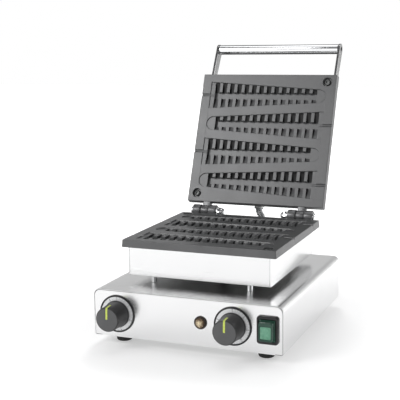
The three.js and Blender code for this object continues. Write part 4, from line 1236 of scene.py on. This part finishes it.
def handle_screw(name, side, y):
    outwards = Matrix.Rotation(side * math.pi / 2, 4, "Y")
    place = Matrix.Translation((side * (ARM_HIGH.x + GAP), y, BAR["low_z"])) @ outwards
    piece(f"button_{name}", socket_screw(4.6, 2.6, 1.6, 2.4, 9.5), ZINC, "lid", OPEN_LID @ place,
          [name])


def plate_screws():
    names = ("front_right", "rear_left")
    length = PLATE["thickness"] - RECESS["depth"] + 9
    for (x, y), name in zip(RECESSES, names):
        screw = socket_screw(5.4, 4.2, 2.5, 2.8, length)
        low = Matrix.Translation((x, y, PLATE_TOP - RECESS["depth"] + GAP))
        piece(f"lower_socket_screw_{name}", screw, DULLED, "base", low,
              [f"lower_plate_screw_{name}"])
        high = Matrix.Translation((x, y, LID_FACE + RECESS["depth"] - GAP)) @ Matrix.Rotation(math.pi, 4, "X")
        piece(f"upper_socket_screw_{name}", screw, DULLED, "lid", OPEN_LID @ high,
              [f"upper_plate_screw_{name}"])


# ---------------------------------------------------------------- wiring conduit


def smooth_path(points, steps):
    """Catmull-Rom curve through the points."""
    points = [Vector(p) for p in points]
    ends = [2 * points[0] - points[1], *points, 2 * points[-1] - points[-2]]
    path = []
    for a, b, c, d in zip(ends, ends[1:], ends[2:], ends[3:]):
        for k in range(steps):
            t = k / steps
            path.append(0.5 * (2 * b + (c - a) * t + (2 * a - 5 * b + 4 * c - d) * t**2
                               + (3 * b - a - 3 * c + d) * t**3))
    path.append(points[-1])
    return path


def conduit_route():
    """Centre line, from the gland on the base top up behind the plates to the lid's gland."""
    base_low, base_high = box("base_conduit_gland")
    x, y = (base_low.x + base_high.x) / 2, (base_low.y + base_high.y) / 2
    top = BASE_HIGH.z
    gland_low, gland_high = closed_box("lid_conduit_gland")
    gland_z = (gland_low.z + gland_high.z) / 2
    back = CASING_HIGH.y
    points = [(x, y, top - 4), (x, y, top + 3), (x, y, top + 10)]
    points += [(x, y + 6, top + 20), (x - 2, y + 22, top + 36), (x - 6, y + 34.5, top + 54)]
    for side, reach in ((2.5, 16), (0, 9), (0, 3), (0, -4)):
        points.append(OPEN_LID @ Vector((side, back + reach, gland_z)))
    return smooth_path(points, 10)


def conduit():
    """Corrugated metal conduit: rounded ribs at an even pitch along the route."""
    route = conduit_route()
    lengths = [0.0]
    for a, b in zip(route, route[1:]):
        lengths.append(lengths[-1] + (b - a).length)
    pitch, per_rib, mean_radius, rib = 2.6, 6, 5.55, 0.4
    count = int(lengths[-1] / pitch * per_rib)
    stations = np.linspace(0, lengths[-1], count)
    centres = np.array([np.interp(stations, lengths, [p[i] for p in route]) for i in range(3)]).T
    loops = []
    across_x = Vector((1, 0, 0))
    for i, centre in enumerate(centres):
        ahead = Vector(centres[min(i + 1, count - 1)]) - Vector(centres[max(i - 1, 0)])
        side = (across_x - ahead * across_x.dot(ahead) / ahead.length_squared).normalized()
        other = ahead.normalized().cross(side)
        radius = mean_radius + rib * math.cos(2 * math.pi * stations[i] / pitch)
        loops.append([tuple(Vector(centre) + radius * (side * math.cos(a) + other * math.sin(a)))
                      for a in np.linspace(0, 2 * math.pi, 24, endpoint=False)])
    mesh = plain_mesh("ribbed_conduit", loft(loops))
    smooth(mesh)
    mesh.materials.append(CONDUIT)
    obj = in_scene("ribbed_conduit", mesh)
    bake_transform(obj)
    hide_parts("wiring_conduit")


def gland(name, body, place):
    """Conduit gland: washer, hexagon body and a domed clamping nut."""
    loops = rings((6.6, -4), (7.0, -4), (7.0, 0.3), (9.5, 0.3), (9.5, 1.5))
    loops += [hexagon(8.2, 1.6), hexagon(8.2, 4.6)]
    loops += rings((8.0, 4.8), (8.0, 7.4), (7.4, 8.6), (6.6, 9.0))
    piece(f"{name}_body", loft(loops, closed=True), ZINC, body, place, [name])


def build_glands():
    low, high = box("base_conduit_gland")
    on_base = Matrix.Translation(((low.x + high.x) / 2, (low.y + high.y) / 2, BASE_HIGH.z))
    gland("base_conduit_gland", "base", on_base)
    low, high = closed_box("lid_conduit_gland")
    backwards = Matrix.Rotation(-math.pi / 2, 4, "X")
    on_lid = Matrix.Translation((0, CASING_HIGH.y, (low.z + high.z) / 2)) @ backwards
    gland("lid_conduit_gland", "lid", OPEN_LID @ on_lid)


# ---------------------------------------------------------------- studio


CARD_BEHIND = ((-1.5, 0.17), (0.05, 1.6))
CARD_LEFT = ((-1.2, -0.15), (-0.16, 0.17))
CARD_Z = 0.004


def stage_sheet(name, low, high, z, material):
    """A level sheet of the studio, not part of the machine."""
    mesh = bpy.data.meshes.new(name)
    corners = [(low[0], low[1], z), (high[0], low[1], z), (high[0], high[1], z), (low[0], high[1], z)]
    mesh.from_pydata(corners, [], [(0, 1, 2, 3)])
    mesh.materials.append(material)
    sheet = in_scene(name, mesh)
    return sheet


def studio_floor():
    """The floor, and dark cards behind and to the left that only show in reflections, as painted shade for
    the floor there.
    """
    stage_sheet("studio_floor", (-6, -6), (6, 6), 0, floor_material())
    cloth = painted_shade_cloth()
    for name, corners in (("card_behind", CARD_BEHIND), ("card_left", CARD_LEFT)):
        card = stage_sheet(name, *corners, CARD_Z, cloth)
        card.visible_camera = False
        card.visible_shadow = False
        card.visible_diffuse = False


def studio_world():
    """White to the camera; for reflections bright at the horizon, dark overhead and by the camera."""
    world = bpy.data.worlds.new("studio")
    bpy.context.scene.world = world
    world.use_nodes = True
    tree = world.node_tree
    tree.nodes.clear()
    links = tree.links
    output = tree.nodes.new("ShaderNodeOutputWorld")
    background = tree.nodes.new("ShaderNodeBackground")
    direction = tree.nodes.new("ShaderNodeTexCoord").outputs["Generated"]
    split = tree.nodes.new("ShaderNodeSeparateXYZ")
    height = tree.nodes.new("ShaderNodeValToRGB")
    height.color_ramp.elements[0].position = 0.05
    height.color_ramp.elements[0].color = (0.9, 0.9, 0.9, 1)
    height.color_ramp.elements[1].position = 0.7
    height.color_ramp.elements[1].color = (0.16, 0.16, 0.165, 1)
    toward = tree.nodes.new("ShaderNodeVectorMath")
    toward.operation = "DOT_PRODUCT"
    toward.inputs[1].default_value = Vector((0.72, -0.69, 0.05)).normalized()
    shade = tree.nodes.new("ShaderNodeMapRange")
    shade.inputs["From Min"].default_value = 0.86
    shade.inputs["From Max"].default_value = 0.95
    shade.inputs["To Min"].default_value = 1.0
    shade.inputs["To Max"].default_value = 0.1
    darkened = tree.nodes.new("ShaderNodeMix")
    darkened.data_type = "RGBA"
    darkened.blend_type = "MULTIPLY"
    darkened.inputs["Factor"].default_value = 1.0
    path = tree.nodes.new("ShaderNodeLightPath")
    seen = tree.nodes.new("ShaderNodeMix")
    seen.data_type = "RGBA"
    seen.inputs["B"].default_value = (1.0, 1.0, 1.0, 1)
    links.new(direction, split.inputs["Vector"])
    links.new(split.outputs["Z"], height.inputs["Fac"])
    links.new(direction, toward.inputs[0])
    links.new(toward.outputs["Value"], shade.inputs["Value"])
    links.new(height.outputs["Color"], darkened.inputs["A"])
    links.new(shade.outputs["Result"], darkened.inputs["B"])
    links.new(path.outputs["Is Camera Ray"], seen.inputs["Factor"])
    links.new(darkened.outputs["Result"], seen.inputs["A"])
    links.new(seen.outputs["Result"], background.inputs["Color"])
    links.new(background.outputs["Background"], output.inputs["Surface"])


def softbox(name, place, aim, size, power):
    """Rectangular area light of that power in watts, aimed at a point."""
    light = bpy.data.lights.new(name, "AREA")
    light.shape = "RECTANGLE"
    light.size, light.size_y = size
    light.energy = power
    obj = in_scene(name, light)
    obj.location = place
    obj.rotation_mode = "QUATERNION"
    obj.rotation_quaternion = (Vector(aim) - Vector(place)).to_track_quat("-Z", "Y")
    return obj


CAMERA = {"azimuth": 22.4, "elevation": 10.2, "roll": -0.9, "distance": 1.5103, "lens": 85.0}
CAMERA_AIM = Vector((-0.0388, 0.0, 0.2))


def studio_camera():
    """Camera at an angle about the machine, turned a little about its own axis."""
    azimuth, elevation = math.radians(CAMERA["azimuth"]), math.radians(CAMERA["elevation"])
    level = math.cos(elevation)
    back = Vector((math.sin(azimuth) * level, -math.cos(azimuth) * level, math.sin(elevation)))
    right = Vector((math.cos(azimuth), math.sin(azimuth), 0))
    up = back.cross(right)
    roll = math.radians(CAMERA["roll"])
    turned_right = right * math.cos(roll) + up * math.sin(roll)
    turned_up = up * math.cos(roll) - right * math.sin(roll)
    data = bpy.data.cameras.new("camera")
    data.lens = CAMERA["lens"]
    data.sensor_width = 36
    camera = in_scene("camera", data)
    place = Matrix((turned_right, turned_up, back)).transposed().to_4x4()
    place.translation = CAMERA_AIM + back * CAMERA["distance"]
    camera.matrix_world = place
    bpy.context.scene.camera = camera


def build_studio():
    studio_camera()
    studio_floor()
    studio_world()
    softbox("key_front_left", (-1.2, -1.8, 1.7), (0, 0, 0.15), (1.0, 1.0), 22)
    softbox("side_right", (1.5, 1.3, 0.9), (0.1, 0.05, 0.2), (1.3, 1.2), 12)
    softbox("overhead", (-0.2, 0.3, 2.2), (0, 0.05, 0.2), (1.2, 1.2), 7)
    rim = softbox("back_rim", (-0.5, 1.7, 1.7), (0, 0, 0.1), (0.7, 0.7), 18)
    rim.visible_glossy = False
    settings = bpy.context.scene.view_settings
    settings.view_transform = "Standard"
    settings.look = "None"


# ---------------------------------------------------------------- build

dress_cad_nodes()
build_studio()
build_base()
lower_casing()
upper_casing()
cooking_plate("lower_griddle", "lower_plate", "base", PLATE_TOP, 1, None)
cooking_plate("upper_griddle", "upper_plate", "lid", LID_FACE, -1, OPEN_LID)
lower_ears()
upper_lugs()
for side_name, side_sign in (("left", -1), ("right", 1)):
    hinge_fasteners(side_name, side_sign)
    handle_arm(side_name, side_sign)
    for number, screw_y in enumerate(BAR_SCREWS_Y, 1):
        handle_screw(f"handle_screw_{side_name}_{number}", side_sign, screw_y)
plate_screws()
handle_tube()
build_controls()
conduit()
build_glands()
